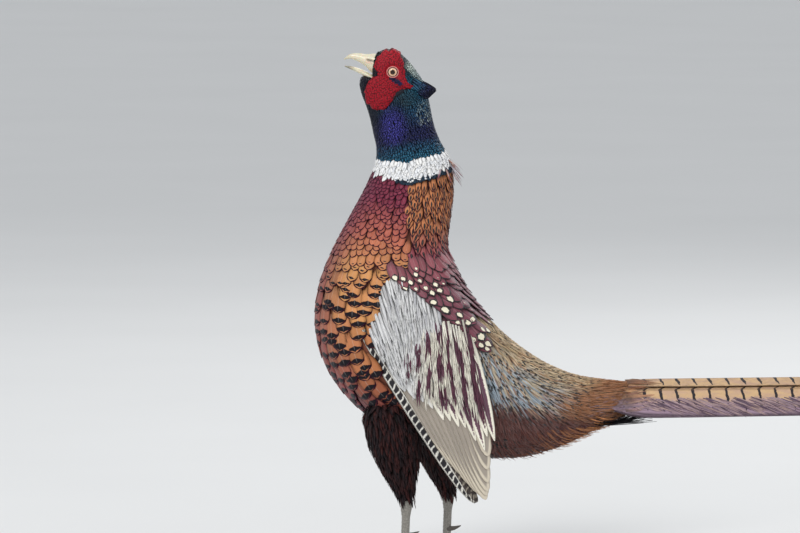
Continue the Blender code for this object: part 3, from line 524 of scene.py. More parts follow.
class Nodes:
    """Adds shader nodes to a tree; any input takes either a value or another node's wire."""

    def __init__(self, tree):
        self.tree = tree

    def feed(self, socket, value):
        if isinstance(value, Wire):
            self.tree.links.new(value.socket, socket)
        else:
            socket.default_value = value

    def wires(self, sockets):
        """Sockets by their names, as wires."""
        return {socket.name: Wire(self, socket) for socket in sockets}

    def make(self, kind, inputs=None, **settings):
        made = self.tree.nodes.new(kind)
        for key, value in settings.items():
            setattr(made, key, value)
        for key, value in (inputs or {}).items():
            self.feed(made.inputs[key], value)
        return made

    def node(self, kind, inputs=None, port=0, **settings):
        """Makes a node and gives one of its outputs."""
        return Wire(self, self.make(kind, inputs, **settings).outputs[port])

    def math(self, operation, first, second=0.0):
        return self.node("ShaderNodeMath", {0: first, 1: second}, operation=operation)

    def far(self, first, second):
        """The length of a line whose two sides are given."""
        return self.math("SQRT", self.math("POWER", first, 2.0) + self.math("POWER", second, 2.0))

    def step(self, value, low, high):
        """Smooth step from 0 at low to 1 at high."""
        inputs = {0: value, 1: low, 2: high}
        return self.node("ShaderNodeMapRange", inputs, interpolation_type="SMOOTHSTEP")

    def mix(self, share, first, second, blend_type="MIX"):
        inputs = {0: share, 6: first, 7: second}
        return self.node("ShaderNodeMix", inputs, 2, data_type="RGBA", blend_type=blend_type)

    def shade(self, colour, gain):
        """A colour made lighter or darker by a factor."""
        grey = self.node("ShaderNodeCombineColor", {0: gain, 1: gain, 2: gain})
        return self.mix(1.0, colour, grey, "MULTIPLY")

    def noise(self, scale, detail, stretch=(1.0, 1.0, 1.0)):
        """Cloud noise on object coordinates, in cells per metre."""
        spot = self.node("ShaderNodeTexCoord", port="Object")
        spot = self.node("ShaderNodeMapping", {"Vector": spot, "Scale": stretch})
        return self.node("ShaderNodeTexNoise", {"Vector": spot, "Scale": scale, "Detail": detail})

    def sway(self, scale, detail, amount):
        """Cloud noise that goes as far below 0 as above it."""
        return (self.noise(scale, detail) - 0.5) * amount

    def attribute(self, name, port="Color"):
        return self.node("ShaderNodeAttribute", port=port, attribute_name=name)

    def spot(self):
        """The feather's own coordinates: across it from 0 to 1, and along it."""
        place = self.node("ShaderNodeUVMap", uv_map="feather")
        parts = self.wires(self.make("ShaderNodeSeparateXYZ", {0: place}).outputs)
        return parts["X"], parts["Y"]

    def group(self, tree, inputs):
        """Places a node group and gives its outputs by name."""
        return self.wires(self.make("ShaderNodeGroup", inputs, node_tree=tree).outputs)


def new_group(name, inputs, outputs):
    """A node group with named inputs (colour where the start value has four numbers) and outputs."""
    tree = bpy.data.node_groups.new(name, "ShaderNodeTree")
    for title, value in inputs.items():
        kind = "NodeSocketColor" if isinstance(value, tuple) else "NodeSocketFloat"
        tree.interface.new_socket(title, in_out="INPUT", socket_type=kind).default_value = value
    for title, kind in outputs.items():
        tree.interface.new_socket(title, in_out="OUTPUT", socket_type=kind)
    nodes = Nodes(tree)
    given = nodes.wires(nodes.make("NodeGroupInput").outputs)
    return tree, nodes, given, nodes.make("NodeGroupOutput").inputs


def barbs_group():
    """Barbs that slant from the shaft to the tip, and the shaft itself, from the feather's own UV map."""
    tree, n, given, out = new_group(
        "barbs", {"Lines": 24.0, "Slant": 8.0, "Shaft Width": 0.06},
        {key: "NodeSocketFloat" for key in ("Across", "Along", "Barb", "Shaft")})
    u, along = n.spot()
    across = abs((u - 0.5) * 2.0)
    turns = along * given["Lines"] - across * given["Slant"]
    n.feed(out["Across"], across)
    n.feed(out["Along"], along)
    n.feed(out["Barb"], n.math("SINE", turns * (2 * math.pi)) * n.step(n.noise(420.0, 2.0), 0.25, 0.7))
    n.feed(out["Shaft"], n.step(across, given["Shaft Width"], 0.0) * n.step(along, 0.96, 0.75))
    return tree


TIP_START = 0.62


def vane_group(barbs):
    """A whole feather: its ground, a mark with its own ring, a rim, barbs and shaft.

    The mark is round, or square on its corner as Diamond goes to 1. The rim follows the sides and,
    past TIP_START, the tip.
    """
    tree, n, given, out = new_group(
        "vane",
        {
            "Ground": (0.5, 0.5, 0.5, 1.0), "Mark": (0.0, 0.0, 0.0, 1.0), "Edge": (0.0, 0.0, 0.0, 1.0),
            "Mark Size": 1.0, "Edge Size": 1.0, "Chance": 0.5, "Mark Place": 0.8, "Mark Length": 0.25,
            "Mark Width": 0.5, "Ring": 0.0, "Edge Width": 0.1, "Lines": 24.0, "Slant": 8.0,
            "Barb Depth": 0.2, "Shaft Width": 0.06, "Shaft Light": 0.2, "Root Shade": 0.5,
            "Diamond": 0.0, "Fray": 0.12,
        },
        {"Color": "NodeSocketColor", "Height": "NodeSocketFloat"})
    own = n.group(barbs, {key: given[key] for key in ("Lines", "Slant", "Shaft Width")})
    across, along = own["Across"], own["Along"]
    tipward = n.math("MAXIMUM", (along - TIP_START) / (1.0 - TIP_START), 0.0)
    start = 1.0 - given["Edge Width"] * given["Edge Size"]
    edge = n.step(n.far(across, tipward), start - 0.05, start + 0.05)
    edge = edge * n.step(given["Edge Size"], 0.0, 0.2)
    far_v = along + n.sway(420.0, 3.0, given["Fray"]) + (given["Chance"] - 0.5) * 0.05
    far_v = (far_v - given["Mark Place"]) / given["Mark Length"]
    far_u = (across + n.sway(1100.0, 2.0, given["Fray"])) / given["Mark Width"]
    square = (far_u + abs(far_v)) * given["Diamond"]
    far = square + n.far(far_u, far_v) * (1.0 - given["Diamond"])
    far = far / n.math("MAXIMUM", given["Mark Size"], 0.01) + n.sway(900.0, 2.0, 0.3)
    shown = n.step(given["Mark Size"], 0.02, 0.15)
    mark = n.step(far, 1.08, 0.92) * shown
    ring_end = given["Ring"] + 1.0
    ring = n.step(far, 0.95, 1.05) * n.step(far, ring_end + 0.1, ring_end)
    ring = ring * shown * n.step(given["Ring"], 0.0, 0.05)
    gain = own["Barb"] * given["Barb Depth"] + 1.0
    # Root Shade darkens each feather towards its root: painted shade where it lies under the feathers before
    # it, and partly the downy root's own darker tone.
    gain = gain * (1.0 - n.step(along, 0.5, 0.1) * given["Root Shade"])
    colour = n.mix(mark, given["Ground"], given["Mark"])
    colour = n.mix(ring, colour, given["Edge"])
    colour = n.mix(edge, colour, given["Edge"])
    colour = n.shade(colour, gain)
    n.feed(out["Color"], n.mix(own["Shaft"] * given["Shaft Light"], colour, SHAFT_PALE))
    n.feed(out["Height"], own["Barb"] * 0.35 + own["Shaft"])
    return tree


BARBS = barbs_group()
VANE = vane_group(BARBS)


def new_material(name, roughness, metallic=0.0, **sockets):
    """A material with its Principled shader; sockets are plain numbers on the shader itself."""
    made = bpy.data.materials.new(name)
    made.use_nodes = True
    shader = made.node_tree.nodes["Principled BSDF"]
    for key, value in {"Roughness": roughness, "Metallic": metallic, **sockets}.items():
        shader.inputs[key.replace("_", " ")].default_value = value
    return made, Nodes(made.node_tree), shader.inputs


def bump(nodes, sockets, height, depth_mm, strength=1.0):
    inputs = {"Height": height, "Distance": depth_mm * MM, "Strength": strength}
    nodes.feed(sockets["Normal"], nodes.node("ShaderNodeBump", inputs))


def feather_material(name, roughness, metallic=0.0, relief=0.12, **settings):
    """A feather finish whose ground, mark and edge colours come from the coat's own attributes.

    The alpha of mark and edge carries their size. settings are numbers of the vane group or, where
    it has none of that name, of the shader.
    """
    settings = {key.replace("_", " "): value for key, value in settings.items()}
    names = [socket.name for socket in VANE.interface.items_tree]
    for_shader = {key: value for key, value in settings.items() if key not in names}
    made, n, ports = new_material(name, roughness, metallic, **for_shader)
    inputs = {"Mark Size": n.attribute("mark", "Alpha"), "Edge Size": n.attribute("edge", "Alpha"),
              "Chance": n.attribute("chance", "Fac")}
    for title in ("Ground", "Mark", "Edge"):
        inputs[title] = n.attribute(title.lower())
    inputs.update((key, value) for key, value in settings.items() if key in names)
    vane = n.group(VANE, inputs)
    n.feed(ports["Base Color"], vane["Color"])
    bump(n, ports, vane["Height"], relief)
    return made


# Plumage of the body

COLLAR_TOP = ((0, 60, 95, 140, 180), (8.5, 8.75, 9.05, 8.95, 8.87))
COLLAR_FOOT = ((0, 40, 80, 105, 125, 150, 180), (9.56, 9.9, 10.35, 10.46, 10.1, 9.75, 9.6))
MANTLE_EDGE = ((10.3, 11, 12, 13, 13.6, 14, 15), (94, 90, 77, 69, 74, 83, 88))
WING_FRONT = ((120.0, 215.0, 227.0, 242.0, 258.0, 289.0, 300.0),
              (-56.0, -56.0, -54.0, -45.0, -37.0, -36.0, -28.0))
# The slanting front of the long wing feathers: x where it meets the arm, its slope, and z there.
FEATHER_FRONT = (-53.0, 0.68, 214.7)
SCAPULAR_LINE = ((-60, -30, -21, -1, 17, 28, 46, 100), (303, 292, 286, 268, 248, 230, 218, 190))


def read(line, value):
    return np.interp(value, *line)


def rise(low, high, power=0.8):
    """Height along a feather: from low at its root to high at its tip."""
    return lambda v: (low + (high - low) * v**power)[None, :]


def at_bill(points):
    """1 where the bill leaves the head, above the chin and ahead of the mouth corner, 0 elsewhere."""
    x, z = points[..., 0], points[..., 2]
    return ease(x, -38.5, -42.0) * ease(z + 0.32 * (x + 41.5), 468.5, 471.0) * ease(z, 492.5, 490.0)


def head_region(where, degrees):
    """The head and neck feathers: behind the bill, outside the bare face, down to the collar."""
    angle = np.abs(degrees)
    spot = body_shape(where, degrees)
    face = inside_outline(spot[:, 0], spot[:, 2], WATTLE, 0.9) & (angle > 20) & (angle < 160)
    return (where < read(COLLAR_TOP, angle) + 0.35) & ~face & (at_bill(spot) < 0.4)


def inside_outline(x, z, outline_points, grow):
    """Whether points lie within a closed outline, grown about its middle by a factor."""
    ring = np.array(outline_points)
    middle = ring.mean(0)
    ring = middle + (ring - middle) * grow
    other = np.roll(ring, -1, axis=0)
    inside = np.zeros(len(x), bool)
    for (x1, z1), (x2, z2) in zip(ring, other):
        crosses = (z1 > z) != (z2 > z)
        reach = (x2 - x1) * (z - z1) / (z2 - z1 + 1e-12) + x1
        inside ^= crosses & (x < reach)
    return inside


# The bare red face's outline, as (x, z) going round the eye from the bill.
WATTLE = [
    (-36.0, 489.0), (-39.0, 481.5), (-37.5, 474.5), (-43.0, 468.5), (-46.8, 461.0), (-47.6, 452.5),
    (-44.2, 444.5), (-36.5, 439.6), (-28.0, 440.2), (-21.5, 446.0), (-16.5, 453.5), (-9.5, 458.6),
    (-0.8, 460.6), (-6.6, 469.0), (-10.0, 480.5), (-12.0, 488.5), (-15.8, 495.2), (-22.5, 496.9),
    (-29.5, 495.6),
]
WATTLE_CENTRE = (-25.0, 468.0)
WATTLE_EDGE_OUT = 8.5
WATTLE_MIDDLE_OUT = 15.8
GRAIN = 1.55
GRAIN_SEED = 3


def head_colours(where, degrees):
    """Black forehead and throat, pale grey-green crown, teal nape, deep blue and violet neck."""
    angle = np.abs(degrees)
    spot = body_shape(where, degrees)
    x, z = spot[:, 0], spot[:, 2]

    def near(middle, squeeze, reach):
        """1 within the shorter reach of a spot, falling to 0 at the longer one."""
        return ease(np.hypot((x - middle[0]) * squeeze[0], (z - middle[1]) * squeeze[1]), *reach)

    colour = stops(where, (0, 2.2, 4.2, 6.0, 7.4, 9.0), (INK, INK, PEACOCK, NAVY, NAVY, TEAL))
    along = ((x + 10.5) * 0.69 - (z - 486.4) * 0.724) / 29.0
    aside = np.abs((x + 10.5) * 0.724 + (z - 486.4) * 0.69)
    colour = blend(colour, TEAL, 0.9 * near((-1.5, 466.0), (1, 1), (13, 6)) * ease(angle, 30, 50))
    crown = ease(aside, 4.6, 2.4) * ease(along, -0.05, 0.1) * ease(along, 1.1, 0.9)
    colour = blend(colour, CROWN_GREY, 0.95 * crown * (0.75 + 0.25 * RANDOM.random(len(where))))
    colour = blend(colour, EAR_GREY, 0.85 * near((-7, 454), (0.9, 1), (10, 6)) * ease(angle, 40, 60))
    streak = near((8, 441), (1.5, 1), (15, 8)) * (RANDOM.random(len(where)) > 0.45)
    colour = blend(colour, CROWN_GREY, 0.4 * streak)
    colour = blend(colour, VIOLET, 0.8 * near((-22, 428), (1, 0.75), (17, 6)) * ease(angle, 40, 70))
    colour = blend(colour, TEAL, 0.75 * ease(where, 7.3, 8.6) * ease(angle, 150, 90))
    colour = blend(colour, TEAL, 0.55 * ease(where, 3.4, 4.6) * ease(where, 7.0, 5.6) * ease(angle, 95, 60))
    return blend(colour, NIGHT, 0.8 * ease(angle, 120, 150) * ease(where, 7.6, 5.2))


def make_head_coat():
    """Small scale-like feathers of the head and neck, larger towards the collar."""
    coat = Coat()
    spacing = lambda w: np.interp(w, (0, 3, 6, 9), (1.3, 1.4, 1.7, 2.2))
    across = lambda w: np.interp(w, (0, 3, 6, 9), (1.4, 1.6, 2.0, 2.6))
    where, degrees = body_roots(0.15, 9.3, spacing, across, head_region)
    ground = vary(head_colours(where, degrees), 0.12)
    length = uneven(spacing(where) * 3.0, 0.08, len(where))
    lay(coat, body_shape, where, degrees, stray(flow(where, degrees), 0.06), length, across(where) * 0.66,
        ROUND_TIP, rise(-0.7, 0.45), paint(ground, edge=NIGHT, edge_size=0.7), rows=5, cup=0.05)
    finish = feather_material("neck_plumage", 0.36, 0.55, 0.08, Edge_Width=0.3, Barb_Depth=0.3, Lines=12.0,
                              Slant=5.0, Root_Shade=0.6)
    return coat.build("neck_coat", finish, "neck_feathers")


def make_collar():
    """The white collar: soft pointed feathers, with a few dark ones along its lower edge."""
    coat = Coat()

    def white(where, degrees):
        angle = np.abs(degrees)
        return (where > read(COLLAR_TOP, angle)) & (where < read(COLLAR_FOOT, angle) - 0.42)

    def dark(where, degrees):
        angle = np.abs(degrees)
        foot = read(COLLAR_FOOT, angle)
        return (where > foot - 0.4) & (where < foot - 0.12) & (angle < 112)

    for keep, ground, shade, length in ((dark, NIGHT, TEAL, 8.4 * 0.9), (white, WHITE, COLLAR_SHADE, 8.4)):
        where, degrees = body_roots(8.4, 10.8, lambda w: 1.7, lambda w: 1.7, keep)
        count = len(where)
        ground = vary(blend(tile(ground, where), shade, RANDOM.random(count) * 0.35), 0.03)
        length = uneven(length, 0.1, count)
        lay(coat, body_shape, where, degrees, stray(flow(where, degrees), 0.16), length, 2.5, ROUND_TIP,
            rise(-0.5, 1.3), paint(ground), cup=0.05)
    finish = feather_material("collar_plumage", 0.75, 0.0, 0.06, Barb_Depth=0.08, Lines=10.0, Slant=9.0,
                              Shaft_Light=0.0, Root_Shade=0.0)
    return coat.build("collar_coat", finish, "collar_feathers")


def wing_front(z):
    """Front edge of the folded wing at a height: its arm, then the slanting line of the long feathers."""
    x, slope, foot = FEATHER_FRONT
    return np.maximum(read(WING_FRONT, z), x + slope * (foot - z))


def off_wing(points):
    """Whether body feathers show: not under the folded wing's arm."""
    x, z = points[:, 0], points[:, 2]
    rim = (x / (PAD_REACH[0] - 6)) ** 2 + ((z - WING_MIDDLE[1]) / (PAD_REACH[1] - 8)) ** 2
    front = x < wing_front(z) + 4
    return (rim > 1.0) | front | (np.abs(points[:, 1]) < 34)


def breast_region(where, degrees):
    angle = np.abs(degrees)
    spot = clothed_shape(where, degrees)
    ahead = spot[:, 0] < wing_front(spot[:, 2]) + 3
    below = (where > 15.5) & (angle > np.interp(where, (15.5, 17, 19.5), (86, 92, 102)))
    chest = np.where(where < 14.0, angle > read(MANTLE_EDGE, where), ahead | below)
    return (where > read(COLLAR_FOOT, angle) - 0.05) & chest & (where < 19.6) & off_wing(spot)


def breast_colours(where, degrees):
    """Maroon under the collar, copper scales, then gold that deepens to a brown-black belly."""
    angle = np.abs(degrees)
    marks = (9.6, 11.0, 12.2, 13.2, 14.2, 16.4, 17.6, 18.6, 19.4)
    colours = (MAROON, MAROON, COPPER, GOLD, GOLD, GOLD_DEEP, GOLD_BROWN, BELLY, BELLY)
    colour = stops(where + (angle - 120) / 200, marks, colours)
    colour = blend(colour, COPPER, 0.35 * RANDOM.random(len(where)) * ease(where, 12, 13))
    front = ease(angle, 118, 165) * np.interp(where, (13, 16.5, 18.6), (0.9, 0.8, 0.9))
    return blend(colour, BREAST_PLUM, 0.85 * front)


def make_breast():
    """Scales of the upper breast that grow into broad feathers with black tips."""
    coat = Coat()
    marks = (9.9, 11.5, 12.8, 14.2, 18, 19.6)
    spacing = lambda w: np.interp(w, marks, (3.0, 4.0, 5.6, 8.6, 9.4, 8.0))
    across = lambda w: np.interp(w, marks, (3.8, 5.2, 7.4, 14.5, 16.0, 13.0))
    where, degrees = body_roots(9.7, 19.6, spacing, across, breast_region)
    count = len(where)
    ground = vary(breast_colours(where, degrees), 0.07)
    black = uneven(ease(where, 12.2, 14.2) * np.interp(where, (12, 14, 18), (0.85, 1.12, 1.2)), 0.1, count)
    black = np.clip(black * np.interp(np.abs(degrees), (150, 180), (1.0, 0.75)), 0, 1.3)
    rim = np.interp(where, (10, 12.5, 14, 18), (1.7, 1.4, 0.25, 0.4))
    length = uneven(spacing(where) * 2.7, 0.06, count)
    lay(coat, clothed_shape, where, degrees, stray(flow(where, degrees), 0.07), length, across(where) * 0.60,
        FLAT_TIP, rise(-0.9, 0.55), paint(ground, INK, black, PURPLE_EDGE, rim), rows=7, columns=5, cup=0.05)
    finish = feather_material("breast_plumage", 0.5, 0.12, 0.14, Edge_Width=0.08, Mark_Place=0.83,
                              Mark_Length=0.115, Mark_Width=1.1, Diamond=1.0, Fray=0.08, Lines=26.0,
                              Root_Shade=0.4, Specular_IOR_Level=0.2)
    return coat.build("breast_coat", finish, "breast_feathers")


def mantle_region(where, degrees):
    angle = np.abs(degrees)
    return (where > read(COLLAR_FOOT, angle) - 0.05) & (angle < read(MANTLE_EDGE, where)) & (where < 13.5)


def make_mantle():
    """Pointed buff-orange feathers of the upper back, each with a black drop and a thin dark rim."""
    coat = Coat()
    spacing = lambda w: np.interp(w, (9.8, 11.5, 13.5), (4.2, 5.6, 7.4))
    across = lambda w: np.interp(w, (9.8, 11.5, 13.5), (4.6, 6.4, 9.0))
    where, degrees = body_roots(9.8, 13.6, spacing, across, mantle_region)
    ground = stops(where, (9.8, 11.2, 11.8, 12.9), (GOLD_DEEP, BUFF_ORANGE, BUFF_ORANGE, MANTLE_PINK))
    colours = paint(vary(ground, 0.08), INK, 1.0, PURPLE_EDGE, 1.0)
    length = uneven(spacing(where) * 2.9, 0.07, len(where))
    lay(coat, clothed_shape, where, degrees, stray(flow(where, degrees, 6.0), 0.08), length,
        across(where) * 0.6, POINTED_TIP, rise(-1.5, 1.6), colours, rows=7, columns=5, cup=0.14)
    finish = feather_material("mantle_plumage", 0.5, 0.1, 0.14, Edge_Width=0.16, Mark_Place=0.74,
                              Mark_Length=0.2, Mark_Width=0.34, Specular_IOR_Level=0.25)
    return coat.build("mantle_coat", finish, "mantle_feathers")


def scapular_region(where, degrees):
    angle = np.abs(degrees)
    spot = clothed_shape(where, degrees)
    above = spot[:, 2] > read(SCAPULAR_LINE, spot[:, 0]) + 9
    start = np.where(angle < read(MANTLE_EDGE, where), 13.1, 13.3)
    return (where > start) & (where < 18.4) & (angle < 100) & above & (spot[:, 0] > -26) & (spot[:, 0] < 54)


def make_scapulars():
    """Maroon shoulder feathers over the wing, each with a cream drop edged in black."""
    coat = Coat()
    marks = (13, 15, 18)
    spacing = lambda w: np.interp(w, marks, (7.0, 8.4, 10.0))
    across = lambda w: np.interp(w, marks, (8.0, 9.6, 12.0))
    where, degrees = body_roots(12.9, 18.4, spacing, across, scapular_region)
    count = len(where)
    ground = stops(where, (13, 14.5, 16, 18.4), (MANTLE_PINK, SCAPULAR, SCAPULAR, MAROON))
    low = clothed_shape(where, degrees)
    near_wing = low[:, 2] - read(SCAPULAR_LINE, low[:, 0])
    drops = ease(near_wing, 52, 34) * np.interp(where, (13, 15, 17, 18.4), (0.85, 0.95, 0.9, 0.7))
    drops = drops * (0.6 + 0.6 * RANDOM.random(count)) * (RANDOM.random(count) > 0.2)
    colours = paint(vary(ground, 0.09), CREAM, drops, INK, 0.8)
    length = uneven(np.interp(where, marks, (19, 25, 34)), 0.07, count)
    turn = np.interp(np.abs(degrees), (0, 30, 100), (0, 8, 22))
    lay(coat, clothed_shape, where, degrees, stray(flow(where, degrees, turn), 0.05), length,
        across(where) * 0.58, ROUND_TIP, rise(-1.2, 4.2), colours, rows=8, columns=5, cup=0.12)
    finish = feather_material("scapular_plumage", 0.5, 0.12, 0.14, Edge_Width=0.06, Mark_Place=0.84,
                              Mark_Length=0.11, Mark_Width=0.55, Ring=0.3, Diamond=0.1, Fray=0.2,
                              Barb_Depth=0.22, Sheen_Weight=0.15)
    return coat.build("scapular_coat", finish, "mantle_feathers")


def rump_region(where, degrees):
    angle = np.abs(degrees)
    spot = body_shape(where, degrees)
    clear = (spot[:, 2] < read(SCAPULAR_LINE, spot[:, 0]) + 14) | (spot[:, 0] > 42)
    behind = spot[:, 0] > np.interp(spot[:, 2], (110, 160, 215), (10, 38, 40))
    return (where > 16.0) & (clear | (where > 18)) & behind & (angle < 128)


def rump_colours(where, degrees):
    """Grey-blue above, with buff; rusty orange nearer the tail; chestnut on the flank."""
    angle = np.abs(degrees)
    spot = body_shape(where, degrees)
    top = stops(where, (17, 20.0, 21.4, 24), (RUMP_BLUE, RUMP_BLUE, RUST, RUST))
    buff = ease(angle, 50, 22) * ease(where, 22.6, 20.8)
    top = blend(top, RUMP_BUFF, 0.85 * buff)
    top = blend(top, RUMP_BUFF, 0.7 * (RANDOM.random(len(where)) > 0.62) * ease(where, 21.8, 20.0))
    top = blend(top, RUST, 0.6 * (RANDOM.random(len(where)) > 0.8))
    line = np.interp(spot[:, 0], (60, 100, 140, 180), (184, 171, 158, 162))
    flank = ease(line - spot[:, 2], -3, 6) * ease(where, 23.6, 22.2)
    low = blend(tile(CHESTNUT, where), INK, ease(spot[:, 2], 142, 116) * 0.8)
    return blend(top, low, flank)


def make_rump():
    """Loose hair-like feathers of the lower back, the flanks and the root of the tail."""
    coat = Coat()
    where, degrees = body_roots(16.0, 23.95, lambda w: 4.2, lambda w: 2.6, rump_region, jitter=0.35)
    count = len(where)
    ground = vary(rump_colours(where, degrees), 0.12)
    angle = np.abs(degrees)
    specks = (RANDOM.random(count) > 0.6) * ease(where, 22.4, 21.2) * ease(angle, 84, 66) * 0.9
    length = uneven(np.interp(angle, (0, 70, 110), (20, 24, 32)), 0.15, count)
    droop = np.interp(angle, (0, 40, 92, 120), (0, -12, -80, -86)) * ease(where, 24.6, 22.3)
    lay(coat, clothed_shape, where, degrees, stray(flow(where, degrees, droop), 0.09), length, 1.35,
        STRAND_TIP, rise(-1.2, 2.4), paint(ground, INK, specks), rows=7, cup=0.3,
        curl=RANDOM.normal(0, 0.05, count))
    finish = feather_material("rump_plumage", 0.6, 0.0, 0.1, Mark_Place=0.8, Mark_Length=0.1, Mark_Width=1.4,
                              Barb_Depth=0.25, Lines=9.0, Slant=4.0, Shaft_Width=0.3, Shaft_Light=0.15,
                              Root_Shade=0.35, Sheen_Weight=0.2)
    return coat.build("rump_coat", finish, "rump_feathers")


# The barbs of soft feathers.
DOWN = {"Barb_Depth": 0.3, "Lines": 9.0, "Slant": 6.0, "Shaft_Light": 0.05}


def make_belly():
    """Dark soft feathers of the belly, between the thighs and under the tail."""
    coat = Coat()

    def region(where, degrees):
        return (where > 19.0) & (np.abs(degrees) > np.interp(where, (19, 21, 24), (108, 122, 112)))

    where, degrees = body_roots(19.0, 23.95, lambda w: 5.0, lambda w: 5.0, region, jitter=0.3)
    ground = vary(stops(where, (19, 21, 22.6, 24), (BELLY, BELLY, CHESTNUT, INK)), 0.15)
    length = uneven(19, 0.15, len(where))
    lay(coat, body_shape, where, degrees, stray(flow(where, degrees), 0.12), length, 2.6, POINTED_TIP,
        rise(-1.2, 2.2), paint(ground))
    finish = feather_material("belly_plumage", 0.75, 0.0, 0.12, **DOWN, Sheen_Weight=0.2)
    return coat.build("belly_coat", finish, "thigh_feathers")


# Closed shells: skin, bill, eyes, bare face, legs

class Shells:
    """Closed tubes of rings joined into one mesh, turned outwards by the sign of their volume."""

    def __init__(self):
        self.points = []
        self.faces = []
        self.counts = []
        self.colours = []
        self.total = 0

    def add(self, rings, colours=(0.5, 0.5, 0.5, 1.0)):
        """rings is rows by points round by 3; colours is one colour or one for each point."""
        rows, ring = rings.shape[:2]
        index, quads = tube_quads(rows, ring)
        p = rings.reshape(-1, 3) - rings.reshape(-1, 3).mean(0)
        volume = np.sum(np.cross(p[quads[:, 0]], p[quads[:, 1]]) * p[quads[:, 2]])
        volume += np.sum(np.cross(p[quads[:, 0]], p[quads[:, 2]]) * p[quads[:, 3]])
        turn = -1 if volume < 0 else 1
        self.points.append(rings.reshape(-1, 3))
        caps = [index[0][::turn], index[-1][::-turn]]
        self.faces.append(np.concatenate([quads[:, ::turn].ravel(), *caps]) + self.total)
        self.counts.append(np.array([4] * len(quads) + [ring, ring]))
        self.colours.append(np.broadcast_to(np.asarray(colours, float), (rows, ring, 4)).reshape(-1, 4))
        self.total += rows * ring
        return self

    def build(self, name, material, slot_name, nodes=(), mirror=False):
        """Makes the mesh object, which rides on the bird."""
        points = np.concatenate(self.points)
        if mirror:
            points = points * (1.0, -1.0, 1.0)
        mesh = new_mesh(name, points, self.faces, self.counts)[0]
        fill(mesh.color_attributes.new("ground", "FLOAT_COLOR", "POINT"), "color", self.colours)
        if mirror:
            mesh.flip_normals()
        mesh.shade_smooth()
        return piece(name, mesh, material, slot_name, nodes)


def tube_rings(points, radii, count):
    """Rings of count points square to a bent line."""
    points = np.asarray(points, float)
    way = unit(np.gradient(points, axis=0))
    side = np.cross(way, UP)
    length = np.linalg.norm(side, axis=1, keepdims=True)
    side = np.where(length > 0.2, side / np.maximum(length, 1e-6), (0.0, 1.0, 0.0))
    up = unit(np.cross(side, way))
    turn = np.linspace(0, 2 * np.pi, count, endpoint=False)
    reach = np.asarray(radii, float)[:, None, None]
    return (points[:, None] + side[:, None] * np.cos(turn)[None, :, None] * reach
            + up[:, None] * np.sin(turn)[None, :, None] * reach)


def limb(points, radii):
    """A surface round a bent line: a is the share along it, b the angle round it in degrees.

    The ring at each share is a circle in the plane square to the line's ends.
    """
    points = np.asarray(points, float)
    way = unit(points[-1] - points[0])
    first = unit(np.cross(way, (0.0, 1.0, 0.0)))
    second = np.cross(way, first)

    def surface(a, b):
        turn = np.radians(b)[..., None]
        reach = along_curve(np.column_stack([radii]), a)
        return along_curve(points, a) + reach * (first * np.cos(turn) + second * np.sin(turn))

    return surface


def coat_depth(where):
    """How deep the skin lies under the feather tips."""
    return np.interp(where, (0, 6, 9, 12), (0.8, 1.2, 1.8, COAT_DEPTH))


def skin_colours(where):
    """The skin takes the colour of the feathers over it."""
    marks = (0, 8.6, 8.9, 9.9, 10.2, 13, 17, 19, 24)
    colours = (INK, NIGHT, COLLAR_SHADE, COLLAR_SHADE, PURPLE_EDGE, GOLD_BROWN, GOLD_BROWN, BELLY, BELLY)
    return stops(where, marks, colours)


THIGH_SHARES = (-0.26, -0.18, -0.08, 0.0, 0.35, 0.7, 0.9, 1.0)
THIGH_RADII = (3.0, 15.0, 23.0, 26.0, 25.0, 16.0, 9.5, 7.2)
LEG_X = {"left": -6.0, "right": 34.0}
LEG_OUT = 29.0
HIP_AHEAD = 18.0
HIP_HEIGHT = 152.0
HIP_OUT = 24.0
HOCK_HEIGHT = 70.0
# The thigh's feathers run on past the hock by this many of its line's steps.
PAST_HOCK = 1.4
PAST_HOCK_RADIUS = 5.6


def thigh_line(side):
    """Middle line and radii of a thigh from hip to hock."""
    sign = -1.0 if side == "left" else 1.0
    hip = np.array([LEG_X[side] - HIP_AHEAD, sign * HIP_OUT, HIP_HEIGHT])
    hock = np.array([LEG_X[side] - 2.0, sign * LEG_OUT, HOCK_HEIGHT])
    share = np.linspace(THIGH_SHARES[0], 1, 16)
    return hip + (hock - hip) * share[:, None], np.interp(share, THIGH_SHARES, THIGH_RADII)


def make_skin():
    """The skin under the coat: the body drawn in by the coat's depth, and both thighs.

    Where the bill leaves the head it is narrowed, and drawn back behind the open mouth.
    """
    shells = Shells()
    where = np.linspace(0.0, BODY_END - 0.15, 130)
    degrees = np.linspace(-180, 180, 96, endpoint=False)
    a, b = np.meshgrid(where, degrees, indexing="ij")
    out = partials(clothed_shape, a, b, *BODY_STEPS)[2]
    points = clothed_shape(a, b) - out * coat_depth(a)[..., None]
    points[..., 1] *= 1 - 0.5 * at_bill(points)
    gape = ease(points[..., 2], 469.5, 471.5) * ease(points[..., 2], 484.0, 481.0)
    points[..., 0] += gape * np.maximum(GAPE_BACK - points[..., 0], 0)
    shells.add(points, np.repeat(skin_colours(where)[:, None], len(degrees), axis=1))
    for side in LEG_X:
        points, radii = thigh_line(side)
        shells.add(tube_rings(points, radii - 2.0, 40), BELLY)
    made, n, ports = new_material("skin", 0.8)
    down = n.noise(700.0, 4.0)
    shade = n.node("ShaderNodeMapRange", {0: down, 3: 0.55, 4: 1.0})
    n.feed(ports["Base Color"], n.shade(n.attribute("ground"), shade))
    bump(n, ports, down, 0.5)
    nodes = ("head", "neck", "collar", "mantle", "torso", "rump", "thigh_left", "thigh_right")
    return shells.build("skin", made, "breast_feathers", nodes)


